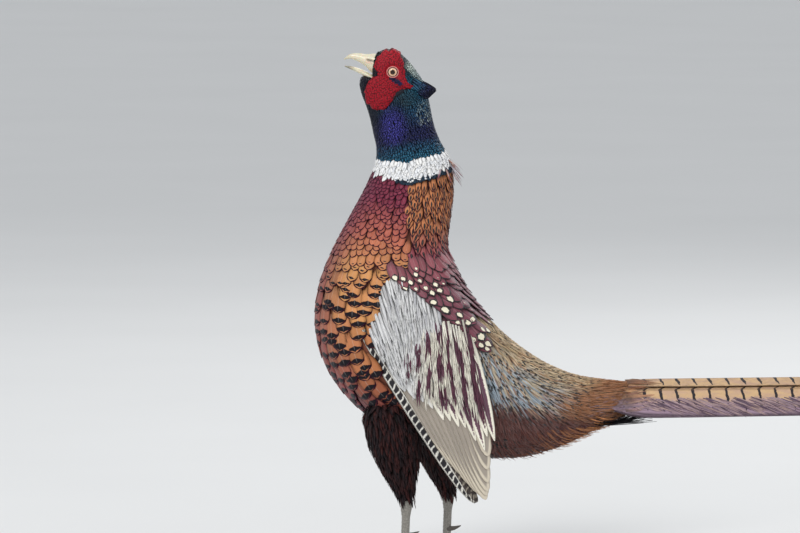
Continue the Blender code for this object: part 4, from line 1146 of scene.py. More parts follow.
def make_thighs():
    """Soft dark feathers down each thigh to the hock."""
    coat = Coat()
    for side in LEG_X:
        points, radii = thigh_line(side)
        points = np.vstack([points, points[-1] + PAST_HOCK * (points[-1] - points[-2])])
        radii = np.append(radii, PAST_HOCK_RADIUS)
        a, b = [], []
        for row, share in enumerate(np.linspace(0.04, 0.89, 27)):
            number = int(2 * np.pi * np.interp(share, np.linspace(0, 1, len(radii)), radii) / 3.6)
            a.append(np.full(number, share) + RANDOM.normal(0, 0.01, number))
            b.append((np.arange(number) + 0.5 * (row % 2)) * 360 / number + RANDOM.normal(0, 5, number))
        a, b = np.concatenate(a), np.concatenate(b)
        count = len(a)
        ground = blend(tile(THIGH, a), CHESTNUT, RANDOM.random(count) ** 2 * 0.35)
        toward = stray(tile(points[-1] - points[0], a) / 80, 0.12)
        length = np.interp(a, (0, 1), (19, 8)) * (1 + RANDOM.normal(0, 0.22, count)).clip(0.4, 1.7)
        lay(coat, limb(points, radii), a, b, toward, length, 2.2, POINTED_TIP, rise(-1.0, 1.6), paint(ground),
            (0.01, 2.0), (0, 1, -180, 540), rows=5)
    finish = feather_material("thigh_plumage", 0.75, 0.0, 0.12, **DOWN, Specular_IOR_Level=0.2)
    return coat.build("thigh_coat", finish, "thigh_feathers")


# Wings

PLUM = srgb(98, 60, 78)
WING_GREY = srgb(178, 178, 182)
WING_PALE = srgb(208, 208, 206)
WING_WHITE = srgb(228, 227, 226)
WING_CREAM = srgb(244, 238, 220)
WING_BROWN = srgb(160, 149, 137)
WING_BUFF = srgb(212, 200, 180)
FLIGHT_WHITE = srgb(226, 222, 212)
FLIGHT_BROWN = srgb(58, 48, 44)
SHAFT_BROWN = srgb(70, 56, 46)
# Each tier: first and last root (x, z), headings in degrees, lengths, number of feathers, half
# width, height over the dome.
PRIMARIES = ((-50.8, 234.0), (-25.0, 214.0), (-56.7, -59.5), (188, 186, 176, 166), 5, 7.2, -0.4)
SECONDARIES = ((-26.5, 220.0), (44.0, 216.0), (-60.0, -76.0), (132, 152, 156, 140, 104), 11, 8.4, 1.4)
GREATER = ((-30.0, 226.0), (50.0, 230.0), (-67.0, -76.0), (54, 74, 90, 98, 104), 12, 6.4, 2.8)
MEDIAN = ((-9.0, 236.0), (42.0, 236.0), (-84.0, -76.0), (46, 58, 64, 62), 8, 6.0, 3.8)
TIER_STEP = 0.62
STRIPE_LAYER = 5.6
STRIPE_TOP = 238.0
WING_STEPS = (0.5, 0.5)
WING_SPANS = (-60, 120, -300, -40)
BOTH_SIDES = (1, -1)
MOST_TILT = 0.3


def dome(layer):
    """The wing's low dome, a layer's height over it, as a surface of x and drop."""
    return lambda x, drop: at(x, -(wing_out(x, -drop) + layer), -drop)


def down_wing(angle):
    """Headings in the wing's plane at angles from the rear."""
    return at(np.cos(angle), 0.0, np.sin(angle))


def lay_tier(coat, tier, shape, colours, rows, columns, ragged=0.0, fall=1.0):
    """Lays a tier from front to rear, each feather tilted so that its rear edge lies under the next.

    The tilt is one layer's step over the distance to the next feather, which widens to the tip.
    ragged is how much the lengths vary; a fall of -1 puts each front edge under the one before.
    colours gives the tier's colours, whose share along the tier is one number for each feather.
    """
    first, last, headings, lengths, count, half, layer = tier
    share = np.linspace(0, 1, count)
    roots = np.array(first) + np.outer(share, np.subtract(last, first))
    angle = np.radians(np.interp(share, (0, 1), headings))
    length = np.interp(share, np.linspace(0, 1, len(lengths)), lengths)
    aside = np.array([-np.sin(angle[0]), np.cos(angle[0])])
    v = lens_place(rows, columns)[1]
    spacing = (roots[1] - roots[0]) @ aside + (angle[1] - angle[0]) * length[:, None] * v[None]
    slope = fall * np.minimum(TIER_STEP / np.abs(spacing), MOST_TILT)[:, :, None]
    length = uneven(length, ragged, count)
    lay(coat, dome(layer), roots[:, 0], -roots[:, 1], down_wing(angle), length, half, shape,
        rise(-2.0, 0.3, 0.25), colours(share), WING_STEPS, WING_SPANS, rows, columns, thick=0.3, cup=0.02,
        tilt=slope, sides=BOTH_SIDES)


COVERT_TIP = ((0.0, 0.5), (0.2, 0.95), (0.5, 1.0), (0.72, 0.84), (0.88, 0.54), (0.97, 0.22), (1.0, 0.06))
FLIGHT_TIP = ((0.0, 0.5), (0.2, 0.9), (0.5, 1.0), (0.8, 0.9), (0.93, 0.66), (0.985, 0.36), (1.0, 0.1))


def flight_material():
    """Primaries: a white leading rim, then black blocks with white gaps; brown inner web with pale bars."""
    made, n, ports = new_material("primary_plumage", 0.55)
    own = n.group(BARBS, {"Lines": 70.0, "Slant": 5.0, "Shaft Width": 0.07})
    u = n.spot()[0]
    turn = n.math("FRACT", own["Along"] * 27.0 + n.sway(150.0, 3.0, 0.9) + u * 0.9)
    u = u + n.sway(700.0, 3.0, 0.07)
    block = n.step(turn, 0.14, 0.28) * n.step(turn, 1.0, 0.9)
    outer = n.step(u, 0.09, 0.14) * n.step(u, 0.6, 0.52)
    inner = n.step(u, 0.6, 0.66)
    colour = n.mix(inner, FLIGHT_WHITE, FLIGHT_BROWN)
    colour = n.mix(n.step(turn, 0.6, 0.8) * inner * 0.4, colour, WING_BUFF)
    colour = n.mix(block * outer, colour, INK)
    colour = n.shade(colour, own["Barb"] * 0.12 + 1.0)
    n.feed(ports["Base Color"], n.mix(own["Shaft"] * 0.7, colour, SHAFT_BROWN))
    bump(n, ports, own["Barb"] + own["Shaft"], 0.12)
    return made


def make_wings():
    """Primaries, secondaries, greater and median coverts, then the small coverts over them."""
    rear = lambda share: ease(share, 0.18, 0.42)
    pale = lambda share: vary(blend(tile(WING_WHITE, share), WING_CREAM, rear(share)), 0.05)

    coat = Coat()
    lay_tier(coat, PRIMARIES, FLIGHT_TIP, lambda share: paint(tile(WING_PALE, share)), 24, 9, fall=-1.0)
    coat.build("primaries", flight_material(), "wing_feathers", ("wing_left", "wing_right"))

    coat = Coat()
    lay_tier(coat, SECONDARIES, FLIGHT_TIP, lambda share: paint(
        vary(tile(WING_BROWN, share), 0.06), edge=WING_BUFF, edge_size=1.0), 24, 9)
    finish = feather_material("secondary_plumage", 0.6, Edge_Width=0.08, Lines=80.0, Slant=6.0,
                              Root_Shade=0.1)
    coat.build("secondaries", finish, "wing_feathers")

    coat = Coat()
    lay_tier(coat, GREATER, COVERT_TIP, lambda share: paint(pale(share), PLUM, rear(share)), 20, 9, 0.05)
    finish = feather_material("covert_plumage", 0.6, Mark_Place=0.5, Mark_Length=0.42, Mark_Width=0.55,
                              Lines=60.0, Slant=6.0, Barb_Depth=0.18, Root_Shade=0.1, Fray=0.35)
    coat.build("greater_coverts", finish, "wing_feathers")

    coat = Coat()
    lay_tier(coat, MEDIAN, COVERT_TIP, lambda share: paint(
        pale(share), PLUM, 0.7 + 0.5 * share, WING_PALE, 0.4), 16, 7, 0.1)
    lay_lesser(coat)
    lay_stripes(coat)
    finish = feather_material("small_covert_plumage", 0.65, Edge_Width=0.4, Mark_Place=0.7,
                              Mark_Length=0.26, Mark_Width=0.46, Lines=34.0, Slant=9.0, Barb_Depth=0.3,
                              Root_Shade=0.1, Shaft_Light=0.0)
    coat.build("small_coverts", finish, "wing_feathers")


# The wing's front edge, as x at each height z.
WING_EDGE = ((98.0, 123.5, 148.7, 176.7, 220.0, 258.0, 289.0),
             (30.4, 7.6, -12.4, -29.5, -50.0, -40.0, -28.5))


def lay_lesser(coat):
    """Small pointed coverts in staggered rows over the arm of the wing, down to a ragged foot line."""
    x, z = [], []
    for row, height in enumerate(np.arange(302.0, 176.0, -5.0)):
        x.append(np.arange(-56.0, 60.0, 3.6) + 1.8 * (row % 2))
        z.append(np.full(len(x[-1]), height))
    x, z = np.concatenate(x), np.concatenate(z)
    x = x + RANDOM.normal(0, 0.8, len(x))
    z = z + RANDOM.normal(0, 1.2, len(z))
    rim = (x / PAD_REACH[0]) ** 2 + (np.maximum(z - WING_MIDDLE[1], 0) / PAD_REACH[1]) ** 2
    foot = np.interp(x, (-50, -17, -6, 10, 30), (226, 184, 204, 234, 240)) + RANDOM.normal(0, 5, len(x))
    good = (rim < 1.3) & (z < read(SCAPULAR_LINE, x) + 16)
    good &= (z > foot + 12) & (x > read(WING_FRONT, z) + 3)
    x, z, foot = x[good], z[good], foot[good]
    count = len(x)
    lean = np.interp(z, (190, 240), (-66, -82)) + RANDOM.normal(0, 2.5, count)
    angle = np.radians(np.maximum(lean, np.interp(x, (-50, 0), (-60, -88))))
    length = uneven(np.interp(z, (200, 290), (42, 30)), 0.1, count)
    tip_x = x + length * np.cos(angle)
    tip_z = z + length * np.sin(angle)
    over = read(WING_EDGE, tip_z) + np.interp(tip_z, (204, 236), (14, 2)) - tip_x
    length = length - np.clip(over, 0, None) / 0.55
    length = np.maximum(np.minimum(length, (z - foot) * 1.05), 8.0)
    ground = blend(tile(WING_GREY, x), WING_BROWN, RANDOM.random(count) ** 3 * 0.6)
    ground = blend(ground, WING_WHITE, np.sqrt(RANDOM.random(count)))
    colours = paint(ground, PLUM, 0.0, WING_PALE, RANDOM.random(count))
    lay(coat, wing_cover, x, -z, down_wing(angle), length, 2.3, POINTED_TIP, rise(-0.2, 2.6), colours,
        WING_STEPS, WING_SPANS, rows=8, thick=0.18, cup=0.2, curl=RANDOM.normal(0, 0.02, count),
        sides=BOTH_SIDES)


def lay_stripes(coat):
    """Narrow barbs over the coverts that draw ragged plum and cream stripes down the wing.

    Lines fan from STRIPE_TOP: x = start + (0.0047 start - 0.03) drop. The share of each stripe that
    is plum changes along it, so that cream tips break it up.
    """
    start, drop = np.meshgrid(np.arange(-7.0, 50.0, 1.25), np.arange(-6.0, 88.0, 4.5))
    start = (start + RANDOM.normal(0, 0.5, start.shape)).ravel()
    drop = (drop + RANDOM.normal(0, 1.6, drop.shape)).ravel()
    lean = 0.0047 * start - 0.03
    reach = np.interp(start, (-7, 4, 20, 50), (52, 74, 80, 92))
    top = np.interp(start, (-7, 10, 18, 50), (10, -6, -12, 2))
    good = drop > top + RANDOM.normal(0, 3, len(drop))
    good &= drop < reach + RANDOM.normal(0, 4, len(drop)) - 22
    start, drop, lean, top = start[good], drop[good], lean[good], top[good]
    count = len(start)
    turn = (start + 7.0) / 8.6 + 0.10 * np.sin(drop / 9.0 + start / 5.0)
    band = np.floor(turn)
    width = 0.48 + 0.14 * np.sin(2.3 * band + 1.0)
    patch = (np.sin((drop + 13.0 * band) / (5.6 + 0.7 * np.sin(3.1 * band))) < 0.62) | (start > 24)
    plum = (turn - band < width) & patch & (drop > top + 3 * np.sin(1.7 * band))
    white = ease(start, 14, -4) * 0.8 + 0.25 * RANDOM.random(count)
    cream = blend(tile(WING_CREAM, start), WING_WHITE, white)
    cream = blend(cream, WING_BROWN, 0.55 * (RANDOM.random(count) > 0.84))
    ground = blend(cream, blend(tile(PLUM, start), MAROON, 0.3 * RANDOM.random(count)), plum)
    specks = (RANDOM.random(count) > 0.35) * ease(drop, 40, 60) * ~plum
    colours = paint(vary(ground, 0.06), INK, 0.5 * specks)
    angle = np.arctan(lean) - np.pi / 2 + RANDOM.normal(0, 0.035, count)
    length = uneven(19, 0.14, count)
    lay(coat, dome(STRIPE_LAYER), start + lean * drop, drop - STRIPE_TOP, down_wing(angle), length, 1.15,
        STRAND_TIP, rise(-1.8, 1.0), colours, WING_STEPS, WING_SPANS, rows=7, thick=0.2, cup=0.2,
        curl=RANDOM.normal(0, 0.03, count), sides=BOTH_SIDES)


# Tail

TAIL_RIDGE = (178.0, 182.0)
TAIL_RISE = 0.012
TAIL_CORE = (0.0, -17.0)
RECTRIX_LENGTHS = (480.0, 380.0, 300.0, 240.0, 200.0, 170.0, 150.0, 135.0, 120.0)
RIGHT_MIDDLE = ((-7.0, -7.0), (3.0, 0.0), (22.0, -20.0))
LEFT_MIDDLE = ((-1.0, -7.4), (-10.0, -9.4), (-20.0, -34.0))
TAIL_STEP = 1.3
TAIL_ALONG = (0.0, 0.1, 0.2, 0.55, 0.82, 0.95, 1.0)
TAIL_WIDE = (0.8, 0.94, 1.0, 0.95, 0.68, 0.36, 0.08)
BAR_SPACING = 15.6
TAIL_BUFF = srgb(208, 172, 128)
TAIL_PINK = srgb(164, 138, 156)
BAR_BLACK = srgb(26, 18, 26)
TAIL_STREAK = srgb(196, 160, 132)
TAIL_SHAFT = srgb(120, 84, 56)
TAIL_PURPLE = srgb(74, 44, 76)


def tail_section(x, flat, middle, width):
    """Tail points: a cross-section (y, z) scaled about its middle, drawn together at the root."""
    grow = np.clip((x - TAIL_RIDGE[0]) / 45.0, 0.0, 1.0)
    size = (0.45 + 0.55 * grow * (2 - grow))[..., None]
    core = np.array(TAIL_CORE)
    flat = core + (middle + (flat - middle) * width - core) * size
    height = TAIL_RIDGE[1] + TAIL_RISE * (x - TAIL_RIDGE[0])
    return np.stack([x, flat[..., 0], height + flat[..., 1]], axis=-1)


def tucked(middle_feather, number):
    """Cross-section of the tail feather that lies number steps under a middle feather."""
    top, bottom = np.array(middle_feather[1:])
    down = (bottom - top) / np.linalg.norm(bottom - top)
    side = np.sign(bottom[0])
    inward = np.array([down[1] * side, -down[0] * side])
    start = top + inward * TAIL_STEP * number
    skip = max(1.5, (1.0 - start[0] * side) / (down[0] * side))
    end = bottom + inward * TAIL_STEP * number + down * (1.2 - 0.35 * number)
    return np.array([start + down * skip, end])


def lay_rectrix(coat, length, profile, columns):
    """One tail feather: its section spread across columns, its inner web 0 to 0.5, its outer to 1."""
    profile = np.array(profile)
    if len(profile) == 2:
        profile = np.array([profile[0], profile[0] + 0.3 * (profile[1] - profile[0]), profile[1]])
        middle = (profile[0] + profile[2]) / 2
    else:
        middle = profile[1]
    place = np.linspace(0, 1, columns)
    flat = np.stack([np.interp(place, (0, 0.5, 1), profile[:, i]) for i in (0, 1)], axis=-1)
    rows = int(length / 8)
    v = np.sin(np.linspace(0, np.pi / 2, rows))
    width = np.interp(v, TAIL_ALONG, TAIL_WIDE)[:, None, None]
    x = np.broadcast_to((TAIL_RIDGE[0] + length * v)[:, None], (rows, columns))
    top = tail_section(x, flat[None], middle, width)
    normals = unit(np.cross(np.gradient(top, axis=1), np.gradient(top, axis=0)))
    if np.mean(normals[..., 2]) < 0:
        top, normals, place = top[:, ::-1], -normals[:, ::-1], place[::-1]
    ring = np.concatenate([place, place[-2:0:-1]])
    rings = lens(top[None], normals[None], 0.5)
    spots = np.stack(np.broadcast_arrays(ring[None, :], v[:, None]), axis=-1)[None]
    sign = 1 if profile[-1][0] > 0 else -1
    patch = np.array([0.05 * sign + 0.5, 0.9]) + 0.04 * (spots - 0.5)
    colours = paint([TAIL_BUFF], BAR_BLACK, length / BAR_SPACING / 100, TAIL_PINK, 1.0)
    coat.add(rings, spots, patch, colours, False, columns - 1)


def tail_material():
    """Buff feathers with black bars that thin away from the shaft, and a pink outer web."""
    made, n, ports = new_material("tail_plumage", 0.6)
    own = n.group(BARBS, {"Lines": 150.0, "Slant": 22.0, "Shaft Width": 0.06})
    u = n.spot()[0]
    count = n.attribute("mark", "Alpha") * 100.0
    lean = own["Across"] * -0.32 + n.sway(200.0, 2.0, 0.25)
    far = abs(n.math("FRACT", own["Along"] * count + lean) - 0.5)
    wide = n.step(own["Across"], 1.1, 0.3) * 0.075
    bar = n.step(far, wide + 0.03, wide) * n.step(wide, 0.01, 0.03)
    streak = n.noise(260.0, 3.0, (0.25, 1.0, 1.0))
    colour = n.mix(n.step(streak, 0.35, 0.7), TAIL_BUFF, TAIL_STREAK)
    colour = n.mix(n.step(u, 0.62, 0.86), colour, TAIL_PINK)
    colour = n.mix(bar, n.shade(colour, own["Barb"] * 0.16 + 1.0), BAR_BLACK)
    n.feed(ports["Base Color"], n.mix(own["Shaft"] * 0.5, colour, TAIL_SHAFT))
    bump(n, ports, own["Barb"] + own["Shaft"], 0.14)
    return made


def make_tail():
    """The two long middle feathers and, under each, the shorter ones of its side."""
    coat = Coat()
    for middle_feather in (RIGHT_MIDDLE, LEFT_MIDDLE):
        lay_rectrix(coat, RECTRIX_LENGTHS[0], middle_feather, 13)
        for number, length in enumerate(RECTRIX_LENGTHS[1:], start=1):
            lay_rectrix(coat, length, tucked(middle_feather, number), 7)
    return coat.build("tail_feathers", tail_material(), "tail_feathers", ("tail",))


def outer_web(middle_feather):
    """The outer half of a middle tail feather as a surface of x and share across, signed by side."""
    top, bottom = np.array(middle_feather[1:])
    side = -np.sign(bottom[0])

    def surface(x, share):
        v = np.clip((x - TAIL_RIDGE[0]) / RECTRIX_LENGTHS[0], 0, 1)
        flat = top + (bottom - top) * (share * side)[..., None]
        return tail_section(x, flat, top, np.interp(v, TAIL_ALONG, TAIL_WIDE)[..., None])

    return surface, side


BACK_AND_DOWN = (0.9, 0.0, -0.42)
BACKWARD = (1.0, 0.0, 0.0)


def make_tail_fringe():
    """Loose pink-purple barbs that slant back and down over the outer webs of the middle pair."""
    coat = Coat()
    for middle_feather in (RIGHT_MIDDLE, LEFT_MIDDLE):
        surface, side = outer_web(middle_feather)
        x = np.repeat(np.arange(190.0, 560.0, 2.2), 5)
        count = len(x)
        share = (0.24 + 0.42 * RANDOM.random(count)) * side
        x = x + RANDOM.normal(0, 1.4, count)
        toward = stray(tile(BACK_AND_DOWN, x), 0.05)
        length = uneven(np.interp(x, (196, 250, 560), (14, 24, 16)), 0.12, count)
        ground = blend(tile(TAIL_PINK, x), TAIL_BUFF, RANDOM.random(count) * 0.5)
        ground = vary(blend(ground, TAIL_PURPLE, 0.85 * (RANDOM.random(count) > 0.62)), 0.1)
        lay(coat, surface, x, share, toward, length, 0.55, STRAND_TIP, rise(-0.2, 0.7), paint(ground),
            (0.5, 0.02), (100, 700, -2, 2), rows=5, thick=0.3)
    finish = feather_material("tail_fringe", 0.6, 0.0, 0.08, Barb_Depth=0.15, Lines=6.0, Slant=2.0,
                              Root_Shade=0.25, Shaft_Light=0.1, Sheen_Weight=0.2)
    return coat.build("tail_fringe", finish, "tail_feathers")


# Head: bill, bare face, eyes, ear tufts

UPPER_BILL = [
    ((-39.0, 473.5), (-34.0, 492.4), 8.6),
    ((-42.0, 475.2), (-40.0, 492.6), 7.6),
    ((-46.5, 480.2), (-46.5, 492.1), 6.0),
    ((-51.5, 483.6), (-52.2, 493.0), 4.5),
    ((-57.0, 486.4), (-58.2, 492.9), 3.3),
    ((-62.4, 487.7), (-63.0, 491.4), 2.0),
    ((-67.0, 486.8), (-67.4, 487.6), 0.5),
]
LOWER_BILL = [
    ((-38.0, 467.0), (-36.0, 471.5), 8.4),
    ((-43.7, 468.6), (-41.5, 473.0), 7.0),
    ((-49.0, 471.6), (-47.0, 476.2), 5.0),
    ((-54.5, 474.6), (-53.0, 478.7), 4.0),
    ((-60.5, 477.4), (-60.0, 480.6), 2.4),
    ((-66.6, 480.2), (-66.6, 481.1), 0.5),
]
NOSTRIL = (-42.6, 486.4)
NOSTRIL_TURN = math.radians(-14)
IVORY = srgb(222, 214, 188)
HORN_OLIVE = srgb(96, 94, 78)
NOSTRIL_SHADE = srgb(44, 8, 8)
CRIMSON = srgb(166, 0, 28)
ROSE = srgb(204, 22, 44)
HOLLOW_SHADE_WINE = srgb(52, 0, 8)
LID_PINK = srgb(200, 128, 122)
IRIS = srgb(228, 196, 166)
IRIS_INNER = srgb(200, 140, 84)
IRIS_RAY = srgb(150, 84, 40)
PUPIL = srgb(14, 9, 8)
LID_RED = srgb(176, 80, 84)
HORN_STREAK = srgb(196, 180, 142)

EYE = (-21.2, 475.9)
EYE_MIDDLE_OUT = 9.4
EYEBALL = 6.2
PUPIL_RADIUS = 2.3
# The iris darkens from the first radius to the second.
IRIS_RIM = (3.8, 4.0)
LID_RADIUS = 5.35
LID_OUT = 13.9


def rail_rings(rows, count, around):
    """Elliptical rings between two rails (x, z) with a half width, as a bill's two horns."""
    table = smooth_rows(np.array([(*low, *high, half) for low, high, half in rows]),
                        np.linspace(0, len(rows) - 1, count))
    turn = np.linspace(0, 2 * np.pi, around, endpoint=False)
    middle = (table[:, 0:2] + table[:, 2:4]) / 2
    reach = (table[:, 2:4] - table[:, 0:2]) / 2
    flat = middle[:, None] + reach[:, None] * np.cos(turn)[None, :, None]
    return at(flat[..., 0], -table[:, 4:5] * np.sin(turn), flat[..., 1])


def bill_material():
    """Ivory horn with faint streaks along it."""
    made, n, ports = new_material("bill_horn", 0.32, Coat_Weight=0.25, Coat_Roughness=0.25,
                                  Subsurface_Weight=0.15, Subsurface_Scale=0.002)
    lines = n.noise(420.0, 4.0, (0.35, 1.0, 1.6))
    n.feed(ports["Base Color"], n.mix(n.step(lines, 0.3, 0.75) * 0.35, n.attribute("ground"), HORN_STREAK))
    bump(n, ports, lines, 0.12, 0.6)
    return made


def toward_colour(colours, other, share):
    """Colours of points moved towards another by a share for each point."""
    share = share[..., None]
    return colours * (1 - share) + np.array(other) * share


def build_pairs(*pieces):
    """Builds closed shells on the left side, then their mirror images on the right.

    Each is a name, material, slot, the nodes it replaces, its rings and, where it has any, colours.
    """
    for side, mirror in (("left", False), ("right", True)):
        for name, material, slot_name, nodes, *shape in pieces:
            own = [node + side for node in nodes]
            Shells().add(*shape).build(name + side, material, slot_name, own, mirror)


def make_bill():
    """Upper and lower bill: lofted horns, with a slit nostril under a small flap."""
    finish = bill_material()
    upper = rail_rings(UPPER_BILL, 60, 56)
    dx, dz = upper[..., 0] - NOSTRIL[0], upper[..., 2] - NOSTRIL[1]
    along = dx * math.cos(NOSTRIL_TURN) + dz * math.sin(NOSTRIL_TURN)
    across = dz * math.cos(NOSTRIL_TURN) - dx * math.sin(NOSTRIL_TURN)
    slit = np.exp(-((along / 3.4) ** 4) - (across / 0.95) ** 2)
    flap = np.exp(-((along / 4.0) ** 2) - ((across + 2.0) / 1.1) ** 2)
    upper[..., 1] -= np.sign(upper[..., 1]) * (1.9 * slit - 0.45 * flap)
    colour = toward_colour(np.array(IVORY), HORN_OLIVE, 0.25 * ease(upper[..., 0], -58.0, -66.5))
    # Painted shade: the nostril's slit is dark red for the shade inside its opening.
    colour = toward_colour(colour, NOSTRIL_SHADE, slit)
    colour = toward_colour(colour, LID_PINK, 0.55 * flap)
    Shells().add(upper, colour).build("upper_bill_horn", finish, "bill_horn", ("upper_bill",))
    lower = rail_rings(LOWER_BILL, 48, 48)
    colour = toward_colour(np.array(IVORY), HORN_OLIVE, 0.9 * ease(lower[..., 0], -54.0, -64.0))
    Shells().add(lower, colour).build("lower_bill_horn", finish, "bill_horn", ("lower_bill",))


def closed_curve(points, count):
    """Points spread along a closed smooth curve."""
    rows = np.array([points[-1], *points, *points[:2]])
    return smooth_rows(rows, 1 + np.linspace(0, len(points), count, endpoint=False))


def grains(x, z):
    """Rounded grains: 1 at each of a jittered lattice of spots, falling to 0 halfway between them."""
    rng = np.random.default_rng(GRAIN_SEED)
    gx, gz = np.meshgrid(np.arange(-50, 2, GRAIN), np.arange(436, 499, GRAIN))
    spots = np.column_stack([gx.ravel(), gz.ravel()]) + rng.normal(0, 0.22 * GRAIN, (gx.size, 2))
    flat = np.column_stack([x.ravel(), z.ravel()])
    near = np.full(len(flat), np.inf)
    for block in np.array_split(spots, 24):
        gap = flat[:, None, :] - block[None]
        near = np.minimum(near, np.min(np.sum(gap**2, axis=-1), axis=1))
    return (1 - np.clip(np.sqrt(near) / (0.62 * GRAIN), 0, 1) ** 2).reshape(x.shape)


def wattle_out(share, x, z):
    """How far the bare face stands out: a dome, hollowed where the eye sits."""
    fall = 1 - np.sqrt(np.clip(1 - share**2.4, 0, 1))
    out = WATTLE_MIDDLE_OUT - (WATTLE_MIDDLE_OUT - WATTLE_EDGE_OUT) * fall
    hollow = 1 - ease(np.hypot(x - EYE[0], z - EYE[1]), 5.2, 9.5)
    return out * (1 - hollow) + (LID_OUT - 0.7) * hollow


def make_wattles():
    """The red face: a domed pad of fine grains with a lobed rim, its lower part in soft folds."""
    around, rows = 220, 70
    rim = closed_curve(WATTLE, around)
    share = np.concatenate([[1.0, 1.0], np.linspace(1.0, 0.015, rows) ** 0.85])
    middle = np.array(WATTLE_CENTRE)
    turn = np.linspace(0, 2 * np.pi, around, endpoint=False)
    lobes = 1 + 0.018 * np.cos(17 * turn) + 0.012 * np.cos(29 * turn + 1.0)
    grow = np.where(share[:, None] > 0.85, lobes[None], 1.0)
    flat = middle + (rim - middle)[None] * (share[:, None] * grow)[..., None]
    x, z = flat[..., 0], flat[..., 1]
    calm = ease(np.hypot(x - EYE[0], z - EYE[1]), 5.6, 8.0)
    grain = grains(x, z)
    fold = np.sin(0.9 * (z - 0.5 * x) + 1.6 * np.sin(0.25 * x)) * 0.5 + 0.5
    out = wattle_out(share[:, None], x, z) + calm * (0.6 * grain + 0.5 * ease(z, 470, 455) * fold)
    out[0] = 5.0
    out[1] = WATTLE_EDGE_OUT - 1.6
    # Painted shade: the hollows between the grains, coloured wine-dark below.
    deep = np.clip(1 - grain, 0, 1) * calm
    # Painted highlight: lighter rose on the grains' tops, more towards the top of the face.
    colour = toward_colour(np.array(CRIMSON), ROSE, (0.3 + 0.6 * ease(z, 484, 494)) * grain**2)
    colour = toward_colour(colour, HOLLOW_SHADE_WINE, 0.85 * deep**0.7)
    made, n, ports = new_material("wattle_skin", 0.55, Subsurface_Weight=0.06, Subsurface_Scale=0.0015,
                                  Specular_IOR_Level=0.25)
    fine = n.noise(2400.0, 3.0)
    n.feed(ports["Base Color"], n.mix(n.step(fine, 0.5, 0.75) * 0.2, n.attribute("ground"), ROSE))
    bump(n, ports, fine, 0.12, 0.7)
    build_pairs(("bare_face_", made, "wattle_skin", ("wattle_",), at(x, -out, z), colour))


def eye_material():
    """Iris with fine rays round a black pupil, and a wet clear coat."""
    made, n, ports = new_material("eye_wet", 0.06, Specular_IOR_Level=0.2, Coat_Weight=0.45,
                                  Coat_Roughness=0.02)
    base = n.attribute("ground")
    rays = n.step(n.noise(1600.0, 3.0), 0.4, 0.7)
    n.feed(ports["Base Color"], n.mix(rays * 0.3, base, n.mix(0.5, base, IRIS_RAY)))
    return made


def make_eyes():
    """Eyeballs, turned rings round the side axis, and the pink lids that frame them."""
    lid, n, ports = new_material("eyelid", 0.5, Subsurface_Weight=0.1, Subsurface_Scale=0.002)
    fine = n.noise(2600.0, 3.0)
    n.feed(ports["Base Color"], n.mix(fine * 0.4, LID_PINK, LID_RED))
    bump(n, ports, fine, 0.1, 0.6)
    angle = np.linspace(0.02, np.pi - 0.02, 90)[:, None]
    turn = np.linspace(0, 2 * np.pi, 64, endpoint=False)
    radius = EYEBALL * np.sin(angle)
    ball = at(EYE[0] + radius * np.cos(turn), -(EYE_MIDDLE_OUT + EYEBALL * np.cos(angle)),
              EYE[1] + radius * np.sin(turn))
    radius = np.broadcast_to(radius, ball.shape[:2])
    inner = ease(radius, PUPIL_RADIUS + 1.1, PUPIL_RADIUS + 0.1)
    colour = toward_colour(np.array(IRIS), IRIS_INNER, 0.6 * inner)
    dark = np.maximum(ease(radius, PUPIL_RADIUS + 0.12, PUPIL_RADIUS - 0.12), ease(radius, *IRIS_RIM))
    colour = toward_colour(colour, PUPIL, np.where(angle < np.pi / 2, dark, 1.0))
    ring = at(EYE[0] + LID_RADIUS * np.cos(turn), -LID_OUT, EYE[1] + (LID_RADIUS - 0.25) * np.sin(turn))
    lid_turn = np.linspace(0, 2 * np.pi, 18, endpoint=False)
    away = unit(ring - np.array([EYE[0], -LID_OUT, EYE[1]]))
    thick = 0.6 + 0.07 * np.sin(9 * turn)
    rings = ring[:, None] + thick[:, None, None] * (
        away[:, None] * np.cos(lid_turn)[None, :, None]
        + np.array((0.0, -1.0, 0.0)) * np.sin(lid_turn)[None, :, None] * 1.1)
    rings = np.concatenate([rings, rings[:1] + 1e-4])
    build_pairs(("eyeball_", eye_material(), "eye", ("eye_",), ball, colour),
                ("eyelid_", lid, "wattle_skin", (), rings))


def lay_plumes(name, material, where, degrees, turn, length, half, tip_lift, ground):
    """Long loose feathers of the body's end, each turned by its own degrees and lifted at its tip."""
    coat = Coat()
    count = len(where)
    colours = paint(vary(ground, 0.1))
    heading = stray(flow(where, degrees, turn), 0.05)
    lift = lambda v: -1.5 + (tip_lift[:, None] + 1.5) * v[None, :] ** 1.2
    lay(coat, body_shape, where, degrees, heading, length, half, STRAND_TIP, lift, colours, rows=9, cup=0.25,
        curl=RANDOM.normal(0, 0.06, count))
    return coat.build(name, material, "rump_feathers")


# The tail's roof at its root, as a height over its ridge at each distance to the side.
TAIL_ROOF = ((-20, -10, -4, 3, 22), (-33, -8.4, -3.5, 1.0, -19))
UNDER_TAIL = (190.0, 140.0)
UNDER_TAIL_RISE = 0.05
TAIL_STEPS = (0.5, 0.5)
TAIL_SPANS = (100, 300, -30, 30)


def over_tail(x, side):
    """Surface just over the tail's root: its roof's height at each distance to the side."""
    return tail_section(x, np.stack([side, read(TAIL_ROOF, side)], axis=-1), np.array(TAIL_CORE), 1.0)


def under_tail(x, side):
    """Surface under the tail's root, whose outside faces down."""
    return at(x, -side, UNDER_TAIL[1] + UNDER_TAIL_RISE * (x - UNDER_TAIL[0]))


